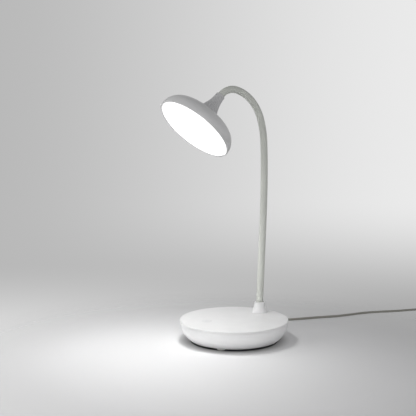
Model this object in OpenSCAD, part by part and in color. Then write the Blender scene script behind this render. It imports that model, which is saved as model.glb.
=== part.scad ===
// Gooseneck desk lamp, in millimetres.
// Origin: centre of the base on the table. +Z is up. The lamp's front is -Y and the neck's
// foot is at the rear of the base, on +Y. The bent neck is swung a little about its foot.

/* [Base] */
// Diameter of the lid, the widest part of the base
base_d = 148; // [130:1:180]
// Diameter of the underside, where the rounded side ends
sole_d = 120; // [108:1:128]
// Height of the base from its underside to the top of the lid
base_h = 27; // [22:0.5:34]
// Thickness of the lid
lid_t = 2.2; // [1.8:0.1:2.8]
// How far the lid's edge stands out past the bowl
lid_overhang = 0.6; // [0.2:0.1:1.2]
// Depth of the ring under the lid that sits inside the bowl
lid_ring_h = 4; // [2:0.5:6]
// Wall of the bowl
bowl_wall = 2.4; // [1.8:0.1:3]
// Thickness of the bottom plate
plate_t = 2; // [1.5:0.1:3]

/* [Feet] */
// Height that a rubber foot stands out below the base
foot_h = 2.5; // [1.5:0.1:4]
// Diameter of a rubber foot
foot_d = 11.6; // [8:0.1:13]
// Radius of the circle that the feet and the base screws are on
foot_ring_r = 52; // [46:0.5:53]
// Turn of the first foot from +X
foot_turn = 21.5; // [0:0.5:40]

/* [Weight and electronics] */
// Diameter of the steel counterweight
weight_d = 84; // [70:1:88]
// Thickness of the counterweight
weight_t = 8; // [6:0.5:9]
// Length of the driver board
board_l = 62; // [50:1:66]
// Width of the driver board
board_w = 36; // [30:1:40]
// Thickness of the circuit boards
board_t = 1.6; // [1:0.1:2]
// Gap between the lid and the driver board, which the touch spring fills
touch_gap = 4.2; // [3:0.1:5]
// Place of the touch key on the lid
touch_at = [-20, -33]; // [-30:0.5:30]

/* [Neck] */
// Distance of the neck's foot behind the base's centre
neck_back = 55; // [48:0.5:58]
// Turn of the bent neck about its foot
neck_swing = -12.5; // [-30:0.5:30]
// Outside diameter of the soft sleeve
sleeve_d = 9.6; // [9:0.1:11]
// Wall of the soft sleeve
sleeve_wall = 1; // [0.8:0.1:1.2]
// Lean of the neck at its foot, forwards positive
neck_lean = -2.6; // [-5:0.1:5]
// Lengths of the neck's stretches, from the foot
stretch_len = [54, 56, 56, 54, 34, 32, 30, 28];
// How far each stretch turns forwards at rest
stretch_turn = [0, 0, 2, 3, 15, 28, 29, 60];
// The most that the neck bends at one joint
bend_max = 35; // [20:1:38]

/* [Lower collar] */
// Height of the collar on the lid
collar_h = 15; // [10:0.5:18]
// Thickness of the collar's wall at its mouth
collar_lip = 1.8; // [1:0.05:3]
// How far the collar's side is hollowed from a straight cone
collar_hollow = 0.8; // [0.3:0.1:2]
// Diameter of the collar's foot
collar_foot_d = 22.5; // [20:0.5:28]

/* [Head] */
// Diameter of the shade
shade_d = 108; // [96:1:130]
// Depth of the shade on its axis
shade_h = 29; // [26:0.5:34]
// Height of the straight band at the shade's rim
shade_band = 3; // [2.5:0.1:5]
// Radius of the shade's rounded shoulder
shoulder_r = 19.5; // [16:0.5:22]
// Wall of the shade
shade_wall = 1.8; // [1.4:0.1:2.4]
// Visible width of the ring around the diffuser
ring_w = 1.2; // [0.8:0.1:2]
// Thickness of the diffuser
diffuser_t = 2; // [1.5:0.1:3]
// Length of the fluted bell on the neck side of the shade
bell_h = 32.3; // [28:0.1:38]
// Thickness of the bell's wall at its mouth
bell_lip = 1; // [0.4:0.1:2]
// Diameter of the bell's foot on the shade
bell_foot_d = 32; // [26:0.5:38]
// Number of flutes round the bell
flutes = 20; // [12:1:24]

/* [Cord] */
// Diameter of the cord
cord_d = 3.2; // [3:0.1:4]
// Turn of the cord's exit from the lamp's rear
cord_turn = 40; // [30:1:55]
// Height of the cord's exit above the table
cord_exit_z = 12; // [11:0.5:14]
// Length of the strain relief outside the base
boot_l = 14.9; // [12:0.1:20]
// Number of turns of the stored cord, side by side in one layer
coil_columns = 6; // [3:1:6]

/* [Hidden] */
$fn = 96;
small_fn = 32;
over = 0.5;                       // how far a cutter runs past a face
slip = 0.3;                       // clearance between moulded parts that locate each other
screw_slip = 0.1;                 // clearance round a screw's thread

// Base, derived
base_r = base_d / 2;
sole_r = sole_d / 2;
body_z = foot_h;                  // underside of the base
top_z = body_z + base_h;          // top of the lid
rim_z = top_z - lid_t;            // top of the bowl, underside of the lid
bowl_top_r = base_r - lid_overhang;
bowl_drop = rim_z - body_z;
bowl_inset = bowl_top_r - sole_r;
// The bowl's side is one arc, upright at the top, that ends on the sole's edge.
side_r = (bowl_drop * bowl_drop + bowl_inset * bowl_inset) / (2 * bowl_inset);
side_x = bowl_top_r - side_r;
plate_seat = 1;                   // how far the bowl's ledge reaches over the plate
plate_edge = 2.1;                 // bowl left outside the plate, at the underside
plate_r = sole_r - plate_edge - slip;
plate_top_z = body_z + plate_t;
ledge_t = 2;
ledge_r = plate_r - plate_seat;
lid_edge_r = 1;
bowl_in_r = side_r - bowl_wall;   // radius of the arc inside the wall
ring_out_r = side_x + sqrt(bowl_in_r * bowl_in_r - lid_ring_h * lid_ring_h) - slip;
ring_wall = 1.6;

// Fasteners
m3_r = 1.5;
m3_head_r = 2.9;
m3_head_h = 1.5;
post_r = 3.3;
post_depth = 10;                  // depth of a screw's pilot hole
m2_r = 1;
m2_head_r = 1.9;
m2_head_h = 1.3;

// Weight and board, derived
weight_r = weight_d / 2;
weight_z = plate_top_z + 0.1;
weight_top = weight_z + weight_t;
weight_screw_x = 30;
board_y = -20;
board_top = rim_z - touch_gap;
board_z = board_top - board_t;
board_post = [board_l / 2 - 4, board_w / 2 - 4];
touch_pocket = 0.8;
touch_spring_r = 4;
touch_wire_r = 0.35;

// Neck, derived
sleeve_r = sleeve_d / 2;
sleeve_bore_r = sleeve_r - sleeve_wall;
hose_slip = 0.3;
hose_r = sleeve_bore_r - hose_slip;
ball_r = 2.6;
ball_slip = 0.3;
cup_lip = 0.8;
stem_r = 1.4;
lead_r = 0.9;
lead_bore_r = 1.2;
stem_l = 4;                       // length of the straight stem that carries a ball
shoulder_back = stem_l - 0.6;     // where the hose ends short of its ball
joint_gap = 2 * sleeve_r * tan(bend_max / 2) + 0.6;
stretches = len(stretch_len);
mouth_z = top_z + collar_h;       // height of the first joint, in the collar's mouth
collar_bore_r = sleeve_r + 0.6;
bush_thread_r = 5;
bush_flange_r = 7;
bush_flange_h = 2;
nut_r = 7.5;
nut_h = 3;
bush_tail = 4;                    // thread left below the nut
bush_bore_r = 2;
bush_z = rim_z - nut_h - bush_tail; // the bush's lower end

// Head, derived. Its own frame has z = 0 at the lit face and +z towards the neck.
shade_r = shade_d / 2;
head_reach = shade_h + bell_h;
shoulder_x = shade_r - shoulder_r;
dome_rise = shade_h - shade_band;
// The dome on the back is one arc that runs smoothly into the shoulder.
dome_r = (shoulder_x * shoulder_x + dome_rise * dome_rise - shoulder_r * shoulder_r)
    / (2 * (dome_rise - shoulder_r));
dome_z = shade_h - dome_r;
rim_in_r = shade_r - shade_wall;
face_in = 0.4;                    // the ring lies this far inside the shade's edge
ring_t = 1;
ring_out = rim_in_r - 0.2;
ring_in = rim_in_r - ring_w - 0.2;
diffuser_z = face_in + ring_t;
diffuser_r = ring_out;
pan_z = diffuser_z + diffuser_t;  // rim of the reflector
pan_t = 0.8;
led_r = 33;
led_board_z = 12;
led_h = 0.7;
plate_h = 2.2;                    // heat plate
heat_r = 36;
heat_z = led_board_z + board_t;
head_post_at = 26;
head_post_r = 3;
head_posts = 3;
bell_wall = 1.6;
bell_mouth_r = collar_bore_r + bell_lip;
bell_foot_r = bell_foot_d / 2;
bell_steps = 12;
flute_r = 0.75;

// Cord, derived
cord_r = cord_d / 2;
cord_fn = 8;
exit_az = 90 + cord_turn;
// The bowl's outside at the height of the cord.
wall_at_cord = side_x + sqrt(side_r * side_r - pow(rim_z - cord_exit_z, 2));
boot_end_r = wall_at_cord + boot_l;
boot_core_r = cord_r + 1.5;
boot_flange_r = boot_core_r + 1;
boot_flange_t = 1.4;
// The flange inside rests on the bowl's wall, which slopes inwards below it.
boot_in_r = side_x - boot_flange_t - 0.2
    + sqrt(pow(bowl_in_r, 2) - pow(rim_z - cord_exit_z + boot_flange_r, 2));
boot_tip_r = cord_r + 0.7;
cord_hole_r = boot_core_r + 0.2;
clamp_r = ledge_r - 6.6;
on_table = cord_r + 0.05;         // height of the cord's middle where it lies on the table
exit_out = [cos(exit_az), sin(exit_az)];
exit_end = boot_end_r * exit_out;
// The cord's way along the table, by hand, as steps from the end of the strain relief. A third
// number is the share of its height there that is left; from then on it lies on the table.
cord_steps = [
    [-5, 6.1, 0.932], [-9.5, 12.1, 0.633], [-12.5, 18.6, 0.285], [-13, 25.6, 0.063],
    [-10.5, 32.6], [-5.5, 39.1], [1.5, 45.1], [10, 50.1], [19, 55.1], [27.5, 60.6],
    [35.5, 66.6], [42.5, 74.1], [50, 85.6], [59, 100.6], [67.5, 114.6], [76.5, 128.1],
    [84.5, 141.6], [91, 157.6], [97.5, 174.1], [105, 188.6], [114, 201.6], [123.5, 214.1],
    [132.5, 227.1], [140.8, 240.6], [147.6, 252.4]
];
cord_way = [for (p = cord_steps) [exit_end.x + p.x, exit_end.y + p.y,
    on_table + (len(p) > 2 ? p[2] : 0) * (cord_exit_z - on_table)]];
coil_at = exit_end + [185, 266.1];
coil_in = 150;                    // where round the coil the cord runs in
coil_out = 60;                    // where it leaves again
coil_mid_r = 17.5;
coil_pitch = cord_d + 0.1;
coil_rows = 2;
tie_t = 0.6;
tie_w = 9;
tie_az = -60;
coil_w = coil_columns * coil_pitch;
coil_h = coil_rows * coil_pitch;
coil_run_r = coil_mid_r + (coil_columns - 1) / 2 * coil_pitch;
row_z = function(row) tie_t + (row + 0.5) * coil_pitch;
coil_entry = coil_at + coil_run_r * [cos(coil_in), sin(coil_in)];
// The cord runs in and out of the coil along straight channels in its side.
coil_lead = 12;
coil_before = coil_entry - coil_lead * [cos(coil_in - 90), sin(coil_in - 90)];
channel_w = cord_d + 1.2;
channel_l = coil_mid_r + coil_w / 2;
plug_z = 4;
tail_l = 22;
plug_relief_l = 6;
plug_l = 20;
plug_w = 15;
shell_l = 12;
shell_w = 12;
shell_h = 4.5;
shell_t = 0.35;

// ---------------------------------------------------------------- shared shapes

module tube(r_out, r_in, h) {
    difference() {
        cylinder(r = r_out, h = h);
        translate([0, 0, -over]) cylinder(r = r_in, h = h + 2 * over);
    }
}

// A hexagon nut with a clear bore, its lower face at z = 0.
module nut(r, bore, h) {
    difference() {
        cylinder(r = r, h = h, $fn = 6);
        translate([0, 0, -over]) cylinder(r = bore, h = h + 2 * over);
    }
}

// A countersunk screw, its head's flat face at z = 0 and its shank up +z.
module flat_screw(r, head_r, head_h, l) {
    difference() {
        union() {
            cylinder(r1 = head_r, r2 = r, h = head_h, $fn = small_fn);
            cylinder(r = r, h = l, $fn = small_fn);
        }
        for (a = [0, 90]) rotate([0, 0, a])
            translate([-head_r * 0.6, -0.3, -over]) cube([head_r * 1.2, 0.6, over + head_h * 0.5]);
    }
}

// A pan-head screw, its shank up +z from z = 0 and its head below.
module pan_screw(r, head_r, head_h, l) {
    difference() {
        union() {
            translate([0, 0, -head_h]) cylinder(r = head_r, h = head_h, $fn = small_fn);
            cylinder(r = r, h = l, $fn = small_fn);
        }
        for (a = [0, 90]) rotate([0, 0, a]) translate([-head_r * 0.6, -0.25, -head_h - over])
            cube([head_r * 1.2, 0.5, over + head_h * 0.5]);
    }
}

module at_feet() {
    for (k = [0:3]) rotate([0, 0, foot_turn + 90 * k]) translate([foot_ring_r, 0, 0]) children();
}

module at_board_posts() {
    for (x = [-1, 1], y = [-1, 1])
        translate([x * board_post.x, board_y + y * board_post.y, 0]) children();
}

// One smooth curve through hand-set points, with two steps between neighbours.
function curve_at(p0, p1, p2, p3, t) = 0.5 * (2 * p1 + (p2 - p0) * t
    + (2 * p0 - 5 * p1 + 4 * p2 - p3) * t * t + (3 * p1 - p0 - 3 * p2 + p3) * t * t * t);
function smooth_way(p, steps = 2) = let(n = len(p)) concat(
    [for (i = [0:n - 2], s = [0:steps - 1])
        curve_at(p[max(i - 1, 0)], p[i], p[i + 1], p[min(i + 2, n - 1)], s / steps)],
    [p[n - 1]]);
function unit(v) = v / norm(v);
function heading_of(p, i) = unit(p[min(i + 1, len(p) - 1)] - p[max(i - 1, 0)]);
// A ring of points square to the way; its first point lies level with the way.
function ring_at(c, d, r, n) = let(side = unit(cross([0, 0, 1], d)), up = cross(d, side))
    [for (k = [0:n - 1]) c + r * (cos(360 * k / n) * side + sin(360 * k / n) * up)];

// A solid round tube swept along p, with flat ends.
module sweep(p, r, n = 8, start = undef, end = undef) {
    m = len(p);
    dirs = [for (i = [0:m - 1]) i == 0 && start != undef ? unit(start)
        : i == m - 1 && end != undef ? unit(end) : heading_of(p, i)];
    points = [for (i = [0:m - 1]) each ring_at(p[i], dirs[i], r, n)];
    sides = [for (i = [0:m - 2], k = [0:n - 1])
        [i * n + k, (i + 1) * n + k, (i + 1) * n + (k + 1) % n, i * n + (k + 1) % n]];
    caps = [[for (k = [0:n - 1]) k], [for (k = [n - 1:-1:0]) (m - 1) * n + k]];
    polyhedron(points = points, faces = concat(sides, caps), convexity = 6);
}

// ---------------------------------------------------------------- base

module lid_outline() {
    square([base_r - lid_edge_r, lid_t]);
    square([base_r, lid_t - lid_edge_r]);
    translate([base_r - lid_edge_r, lid_t - lid_edge_r]) circle(r = lid_edge_r);
}

module base_lid() {
    color("white") difference() {
        union() {
            translate([0, 0, rim_z]) rotate_extrude() lid_outline();
            translate([0, 0, rim_z - lid_ring_h])
                tube(ring_out_r, ring_out_r - ring_wall, lid_ring_h + over);
            at_feet() translate([0, 0, plate_top_z + 0.1])
                cylinder(r = post_r, h = rim_z - plate_top_z, $fn = small_fn);
            at_board_posts() translate([0, 0, board_top])
                cylinder(r = 2.6, h = touch_gap + over, $fn = small_fn);
        }
        at_feet() translate([0, 0, plate_top_z - over])
            cylinder(r = m3_r + screw_slip, h = post_depth + over, $fn = small_fn);
        at_board_posts() translate([0, 0, board_top - over])
            cylinder(r = m2_r + screw_slip, h = 4 + over, $fn = small_fn);
        translate([0, neck_back, rim_z - over])
            cylinder(r = bush_thread_r + 0.2, h = lid_t + 2 * over);
        translate([touch_at.x, touch_at.y, rim_z - over])
            cylinder(r = touch_spring_r + 1.5, h = touch_pocket + over);
    }
}

// The half section inside the bowl's side, shrunk by in from the outer face.
module bowl_section(in) {
    intersection() {
        union() {
            square([side_x, rim_z]);
            translate([side_x, rim_z]) circle(r = side_r - in);
        }
        square([base_r, rim_z]);
    }
}

module base_bowl() {
    ledge_top = plate_top_z + 0.1 + ledge_t;
    color("gainsboro") difference() {
        rotate_extrude() difference() {
            intersection() {
                bowl_section(0);
                translate([0, body_z]) square([base_r, bowl_drop]);
            }
            intersection() {
                bowl_section(bowl_wall);
                translate([0, ledge_top]) square([base_r, bowl_drop + over]);
            }
            translate([0, body_z - over]) square([ledge_r, 2 * ledge_t + plate_t + over]);
            translate([0, body_z - over])
                square([plate_r + slip, plate_t + over + 0.1]);
        }
        rotate([0, 0, exit_az]) translate([ledge_r, 0, cord_exit_z]) rotate([0, 90, 0])
            cylinder(r = cord_hole_r, h = base_r);
    }
}

module base_plate() {
    color("lightgray") difference() {
        translate([0, 0, body_z]) cylinder(r = plate_r, h = plate_t);
        at_feet() screw_seat();
        for (s = [-1, 1]) translate([s * weight_screw_x, 0, 0]) screw_seat();
    }
}

// The countersunk hole in the bottom plate for one screw.
module screw_seat() {
    translate([0, 0, body_z - over])
        cylinder(r = m3_r + 0.2, h = plate_t + 2 * over, $fn = small_fn);
    translate([0, 0, body_z + 0.05])
        cylinder(r1 = m3_head_r + 0.1, r2 = m3_r + 0.1, h = m3_head_h, $fn = small_fn);
    translate([0, 0, body_z - over])
        cylinder(r = m3_head_r + 0.1, h = over + 0.1, $fn = small_fn);
}

module base_screws() {
    color("silver") at_feet() translate([0, 0, body_z + 0.05])
        flat_screw(m3_r, m3_head_r, m3_head_h, plate_t + post_depth - 1);
}

module weight_screws() {
    color("silver") for (s = [-1, 1]) translate([s * weight_screw_x, 0, body_z + 0.05])
        flat_screw(m3_r, m3_head_r, m3_head_h, plate_t + 6);
}

module rubber_feet() {
    color("whitesmoke") at_feet() union() {
        cylinder(r1 = foot_d / 2 - 0.4, r2 = foot_d / 2, h = 0.6, $fn = small_fn);
        translate([0, 0, 0.6]) cylinder(r = foot_d / 2, h = foot_h - 0.6, $fn = small_fn);
    }
}

module counterweight() {
    color("dimgray") difference() {
        translate([0, 0, weight_z]) cylinder(r = weight_r, h = weight_t);
        for (s = [-1, 1]) translate([s * weight_screw_x, 0, weight_z - over])
            cylinder(r = m3_r + screw_slip, h = 7 + over, $fn = small_fn);
        at_feet() translate([0, 0, weight_z - over]) cylinder(r = post_r + 1, h = weight_t + 2 * over);
    }
}

module driver_board() {
    color("seagreen") difference() {
        translate([-board_l / 2, board_y - board_w / 2, board_z])
            cube([board_l, board_w, board_t]);
        at_board_posts() translate([0, 0, board_z - over])
            cylinder(r = m2_r + 0.2, h = board_t + 2 * over, $fn = small_fn);
        at_feet() translate([0, 0, board_z - over]) cylinder(r = post_r + 0.5, h = board_t + 2 * over);
    }
}

module board_screws() {
    color("silver") at_board_posts() translate([0, 0, board_z])
        pan_screw(m2_r, m2_head_r, m2_head_h, board_t + 3);
}

// Parts soldered under the board: a choke, two capacitors, two chips and two plugs.
module driver_parts() {
    room = board_z - weight_top - 0.6;
    color("black") {
        translate([-16, board_y + 6, board_z - room]) cylinder(r = 4.2, h = room);
        for (x = [-3, 4]) translate([x, board_y + 8, board_z - room])
            cylinder(r = 2.5, h = room, $fn = small_fn);
        translate([-10, board_y - 9, board_z - 1.4]) cube([6, 5, 1.4]);
        translate([4, board_y - 8, board_z - 1.2]) cube([4, 4, 1.2]);
        for (x = [-1, 1]) translate([x * 19 - 3, board_y + board_w / 2 - 6, board_z - room])
            cube([6, 5, room]);
    }
}

// The coil spring that joins the board to the underside of the touch key.
module touch_spring() {
    turns = 4;
    rise = touch_gap + touch_pocket - 2 * touch_wire_r - 0.1;
    steps = turns * 10;
    way = [for (i = [0:steps]) [touch_at.x + touch_spring_r * cos(360 * turns * i / steps),
        touch_at.y + touch_spring_r * sin(360 * turns * i / steps),
        board_top + touch_wire_r + 0.05 + rise * i / steps]];
    color("silver") sweep(way, touch_wire_r, 6);
}

// The inner ends of the cord and of the neck's lead, each on its way to the board.
module base_leads() {
    socket_y = board_y + board_w / 2 - 1;
    high = (board_z + weight_top) / 2;
    start = (boot_in_r - 0.05) * exit_out;
    before = (clamp_r + 4) * exit_out;
    after = (clamp_r - 4.5) * exit_out;
    low = (clamp_r - 9) * exit_out;
    color("white") {
        sweep(smooth_way([[start.x, start.y, cord_exit_z], [before.x, before.y, cord_exit_z],
            [after.x, after.y, cord_exit_z], [low.x, low.y, weight_top + lead_r + 1.2],
            [-24, 16, high], [-19, socket_y + 6, high], [-19, socket_y + 0.05, high]]),
            lead_r + 0.2, 8,
            start = [-exit_out.x, -exit_out.y, 0], end = [0, -1, 0]);
        sweep(smooth_way([[0, neck_back, bush_z - 0.05], [0.5, neck_back - 1.5, bush_z - 2.5],
            [5, neck_back - 9, high + 0.2], [13, 28, high], [19, socket_y + 8, high],
            [19, socket_y + 0.05, high]]), lead_r, 8, start = [0.1, -0.3, -1], end = [0, -1, 0]);
    }
}

// The block that grips the cord inside the base, with its two screws.
module cord_clamp() {
    block_l = 6;
    block_w = 15;
    bottom = plate_top_z + 0.1;
    top = cord_exit_z + 3.5;
    color("lightgray") rotate([0, 0, exit_az]) translate([clamp_r, 0, 0]) {
        difference() {
            translate([-block_l / 2, -block_w / 2, bottom]) cube([block_l, block_w, top - bottom]);
            translate([-block_l, 0, cord_exit_z]) rotate([0, 90, 0])
                cylinder(r = lead_r + 0.5, h = 2 * block_l, $fn = small_fn);
            for (s = [-1, 1]) translate([0, s * 5, top - 4])
                cylinder(r = m2_r + screw_slip, h = 4 + over, $fn = small_fn);
        }
        for (s = [-1, 1]) translate([0, s * 5, top]) mirror([0, 0, 1])
            pan_screw(m2_r, m2_head_r, m2_head_h, 3.5);
    }
}

// The moulded strain relief: a flange inside the wall, a core through it and a ringed taper.
module cord_boot() {
    steps = 5;
    color("white") rotate([0, 0, exit_az]) translate([0, 0, cord_exit_z]) rotate([0, 90, 0])
        difference() {
            union() {
                translate([0, 0, boot_in_r]) cylinder(r = boot_flange_r, h = boot_flange_t);
                translate([0, 0, boot_in_r])
                    cylinder(r = boot_core_r, h = wall_at_cord + 0.5 - boot_in_r);
                translate([0, 0, wall_at_cord])
                    cylinder(r1 = boot_core_r, r2 = boot_tip_r, h = boot_l);
            }
            for (k = [1:steps]) translate([0, 0, wall_at_cord + 2 + k * (boot_l - 4) / (steps + 1)])
                tube(2 * boot_core_r, boot_tip_r - 0.25, 0.9);
        }
}

// ---------------------------------------------------------------- neck foot

module at_neck_foot() {
    translate([0, neck_back, 0]) rotate([0, 0, neck_swing]) children();
}

module neck_collar() {
    foot_r = collar_foot_d / 2;
    mouth_r = collar_bore_r + collar_lip;
    // The side is one hollow arc from the foot to the mouth.
    across = [collar_h, foot_r - mouth_r];
    flare_r = (across * across / 4 + collar_hollow * collar_hollow) / (2 * collar_hollow);
    middle = [foot_r + mouth_r, collar_h] / 2
        + across / norm(across) * (flare_r - collar_hollow);
    color("white") translate([0, neck_back, top_z]) rotate_extrude() difference() {
        difference() {
            polygon([[0, 0], [foot_r, 0], [mouth_r, collar_h], [0, collar_h]]);
            translate(middle) circle(r = flare_r, $fn = 400);
        }
        translate([-over, -over]) square([collar_bore_r + over, collar_h + 2 * over]);
        translate([-over, -over]) square([bush_flange_r + 0.2 + over, bush_flange_h + 0.2 + over]);
    }
}

// The threaded bush that carries the neck, with a ball at its top for the first joint.
module neck_bush() {
    color("silver") at_neck_foot() difference() {
        union() {
            translate([0, 0, bush_z]) cylinder(r = bush_thread_r, h = top_z - bush_z + over);
            translate([0, 0, top_z]) cylinder(r = bush_flange_r, h = bush_flange_h);
            translate([0, 0, top_z]) cylinder(r = sleeve_r, h = collar_h - shoulder_back);
            translate([0, 0, mouth_z]) rotate([neck_lean, 0, 0]) ball_end();
        }
        translate([0, 0, bush_z - over])
            cylinder(r = bush_bore_r, h = mouth_z - stem_l - 2 - bush_z + over);
        translate([0, 0, mouth_z]) rotate([neck_lean, 0, 0]) translate([0, 0, -stem_l - 3])
            cylinder(r = lead_bore_r, h = 2 * stem_l + 3);
    }
}

module neck_nut() {
    color("silver") translate([0, neck_back, rim_z - nut_h])
        nut(nut_r, bush_thread_r + 0.05, nut_h);
}

// ---------------------------------------------------------------- neck

// Radius of a stretch's bend.
function bend_r(k) = stretch_len[k] * 180 / (PI * stretch_turn[k]);
// How far a stretch carries the neck, forwards and along, from the joint that starts it.
function span(k) = let(b = stretch_turn[k]) b == 0 ? [0, stretch_len[k]]
    : [bend_r(k) * (1 - cos(b)), bend_r(k) * sin(b)];
// Direction of the neck at a joint, from upright, forwards positive.
function lean(k) = k == 0 ? neck_lean : lean(k - 1) + stretch_turn[k - 1];
// Place of a joint, forwards and up, in the plane of the bent neck.
function joint_at(k) = k == 0 ? [0, mouth_z]
    : let(p = joint_at(k - 1), a = lean(k - 1), s = span(k - 1))
    [p.x + s.x * cos(a) + s.y * sin(a), p.y - s.x * sin(a) + s.y * cos(a)];

// Places children at a joint, with +z along the neck towards the head.
module at_joint(k) {
    at_neck_foot() translate([0, -joint_at(k).x, joint_at(k).y]) rotate([lean(k), 0, 0])
        children();
}

// A round bar along stretch k, from a past its first joint to b short of its last one.
module along(k, r, a, b) {
    if (stretch_turn[k] == 0) {
        translate([0, 0, a]) cylinder(r = r, h = stretch_len[k] - a - b);
    } else {
        turn = stretch_turn[k] / stretch_len[k];
        translate([0, -bend_r(k), 0]) rotate([a * turn, 0, 0]) rotate([90, 0, 90])
            rotate_extrude(angle = (stretch_len[k] - a - b) * turn)
                translate([bend_r(k), 0]) circle(r = r);
    }
}

// A ball on a stem, centred on the joint it makes.
module ball_end() {
    sphere(r = ball_r);
    translate([0, 0, -stem_l]) cylinder(r = stem_r, h = stem_l);
}

module neck_sleeve(k) {
    color("darkseagreen") at_joint(k) difference() {
        along(k, sleeve_r, joint_gap / 2, joint_gap / 2);
        along(k, sleeve_bore_r, 0, 0);
    }
}

// A rigid length of the wound hose: a cup at its start and a ball at its end.
module neck_hose(k) {
    color("gray") at_joint(k) difference() {
        union() {
            along(k, hose_r, -cup_lip, shoulder_back);
            translate([0, -span(k).x, span(k).y]) rotate([stretch_turn[k], 0, 0]) ball_end();
        }
        sphere(r = ball_r + ball_slip);
        along(k, lead_bore_r, -stem_l, -stem_l);
    }
}

module neck_lead(k) {
    color("white") at_joint(k) along(k, lead_r, ball_r + ball_slip + 0.2, 0.4 - ball_r);
}

// ---------------------------------------------------------------- head

// Places children in the head's frame: z = 0 at the lit face, +z towards the neck.
module at_head() {
    at_joint(stretches) translate([0, 0, head_reach]) rotate([180, 0, 0]) children();
}

// Half section of the shade, shrunk by in from the outer face.
module shade_section(in) {
    square([shade_r - in, shade_band]);
    intersection() {
        translate([shoulder_x, shade_band]) circle(r = shoulder_r - in);
        translate([shoulder_x, 0]) square([shade_r, shade_h]);
    }
    intersection() {
        translate([0, dome_z]) circle(r = dome_r - in);
        polygon([[0, 0], [shoulder_x, 0], [shoulder_x, shade_band],
            [shoulder_x + (shade_h * shoulder_x) / (shade_band - dome_z), shade_band + shade_h],
            [0, shade_band + shade_h]]);
    }
}

module at_head_posts() {
    for (k = [0:head_posts - 1]) rotate([0, 0, 90 + 360 * k / head_posts])
        translate([head_post_at, 0, 0]) children();
}

module head_shade() {
    color("white") at_head() difference() {
        union() {
            rotate_extrude() difference() {
                shade_section(0);
                shade_section(shade_wall);
                translate([0, -over]) square([rim_in_r, shade_band + over]);
            }
            intersection() {
                union() {
                    at_head_posts() translate([0, 0, heat_z + plate_h])
                        cylinder(r = head_post_r, h = shade_h, $fn = small_fn);
                    translate([0, 0, shade_h - shade_wall - 1.5]) cylinder(r = 10, h = shade_h);
                }
                rotate_extrude() shade_section(shade_wall / 2);
            }
        }
        cylinder(r = bush_thread_r + 0.2, h = shade_h + over);
        at_head_posts() translate([0, 0, heat_z + plate_h - over])
            cylinder(r = m2_r + screw_slip, h = 4.5 + over, $fn = small_fn);
    }
}

module diffuser_ring() {
    color("white") at_head() translate([0, 0, face_in]) tube(ring_out, ring_in, ring_t);
}

module diffuser() {
    color("ivory") at_head() translate([0, 0, diffuser_z])
        cylinder(r = diffuser_r, h = diffuser_t);
}

// The white pan between the diffuser and the lamp board.
module reflector() {
    pan_h = led_board_z - pan_z - led_h;
    color("white") at_head() translate([0, 0, pan_z]) rotate_extrude()
        polygon([[rim_in_r - 0.4, 0], [rim_in_r - 0.4, pan_t], [rim_in_r - 2.5, pan_t],
            [led_r + 1, pan_h + led_h], [led_r - 1.5, pan_h + led_h], [led_r - 1.5, pan_h],
            [led_r, pan_h], [rim_in_r - 3.5, 0]]);
}

module led_board() {
    color("white") at_head() difference() {
        translate([0, 0, led_board_z]) cylinder(r = led_r, h = board_t);
        at_head_posts() translate([0, 0, led_board_z - over])
            cylinder(r = m2_r + 0.2, h = board_t + 2 * over, $fn = small_fn);
        translate([0, 0, led_board_z - over]) cylinder(r = 3, h = board_t + 2 * over);
    }
}

module led_chips() {
    rings = [[11, 6], [19, 12], [29, 15]];
    color("khaki") at_head() for (ring = rings, k = [0:ring[1] - 1])
        rotate([0, 0, 360 * (k + 0.5) / ring[1]])
            translate([ring[0] - 1.4, -1.75, led_board_z - led_h]) cube([2.8, 3.5, led_h]);
}

module heat_plate() {
    color("silver") at_head() difference() {
        translate([0, 0, heat_z]) cylinder(r = heat_r, h = plate_h);
        at_head_posts() translate([0, 0, heat_z - over])
            cylinder(r = m2_r + 0.2, h = plate_h + 2 * over, $fn = small_fn);
        translate([0, 0, heat_z - over]) cylinder(r = 3, h = plate_h + 2 * over);
    }
}

module head_screws() {
    color("silver") at_head() at_head_posts() translate([0, 0, led_board_z])
        pan_screw(m2_r, m2_head_r, m2_head_h, board_t + plate_h + 4);
}

// Outline of the bell, as radius by distance from its mouth; it flares towards the shade.
function bell_at(d, in) = max(bell_mouth_r + (bell_foot_r - bell_mouth_r)
    * pow(d / bell_h, 2.2) - in, in > 0 ? collar_bore_r : 0);

module head_bell() {
    color("gray") at_head() difference() {
        rotate_extrude() translate([0, head_reach]) mirror([0, 1]) polygon(concat(
            [for (i = [0:bell_steps]) let(d = bell_h * i / bell_steps) [bell_at(d, 0), d]],
            [[bell_at(bell_h, 0), bell_h + 2]], [[bell_at(bell_h, bell_wall), bell_h + 2]],
            [for (i = [bell_steps:-1:0]) let(d = bell_h * i / bell_steps)
                [bell_at(d, bell_wall), d]]));
        translate([0, 0, dome_z]) sphere(r = dome_r + 0.05, $fn = 200);
        for (k = [0:flutes - 1]) rotate([0, 0, 360 * k / flutes]) flute();
    }
}

// One groove along the bell, straight from under the mouth to near the foot.
module flute() {
    top = [bell_at(3, 0) + flute_r * 0.35, head_reach - 3];
    foot = [bell_at(bell_h * 0.72, 0) + flute_r * 0.35, head_reach - bell_h * 0.72];
    slope = atan2(foot.x - top.x, top.y - foot.y);
    translate([foot.x, 0, foot.y]) rotate([0, -slope, 0])
        cylinder(r = flute_r, h = norm(top - foot), $fn = 12);
}

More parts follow.
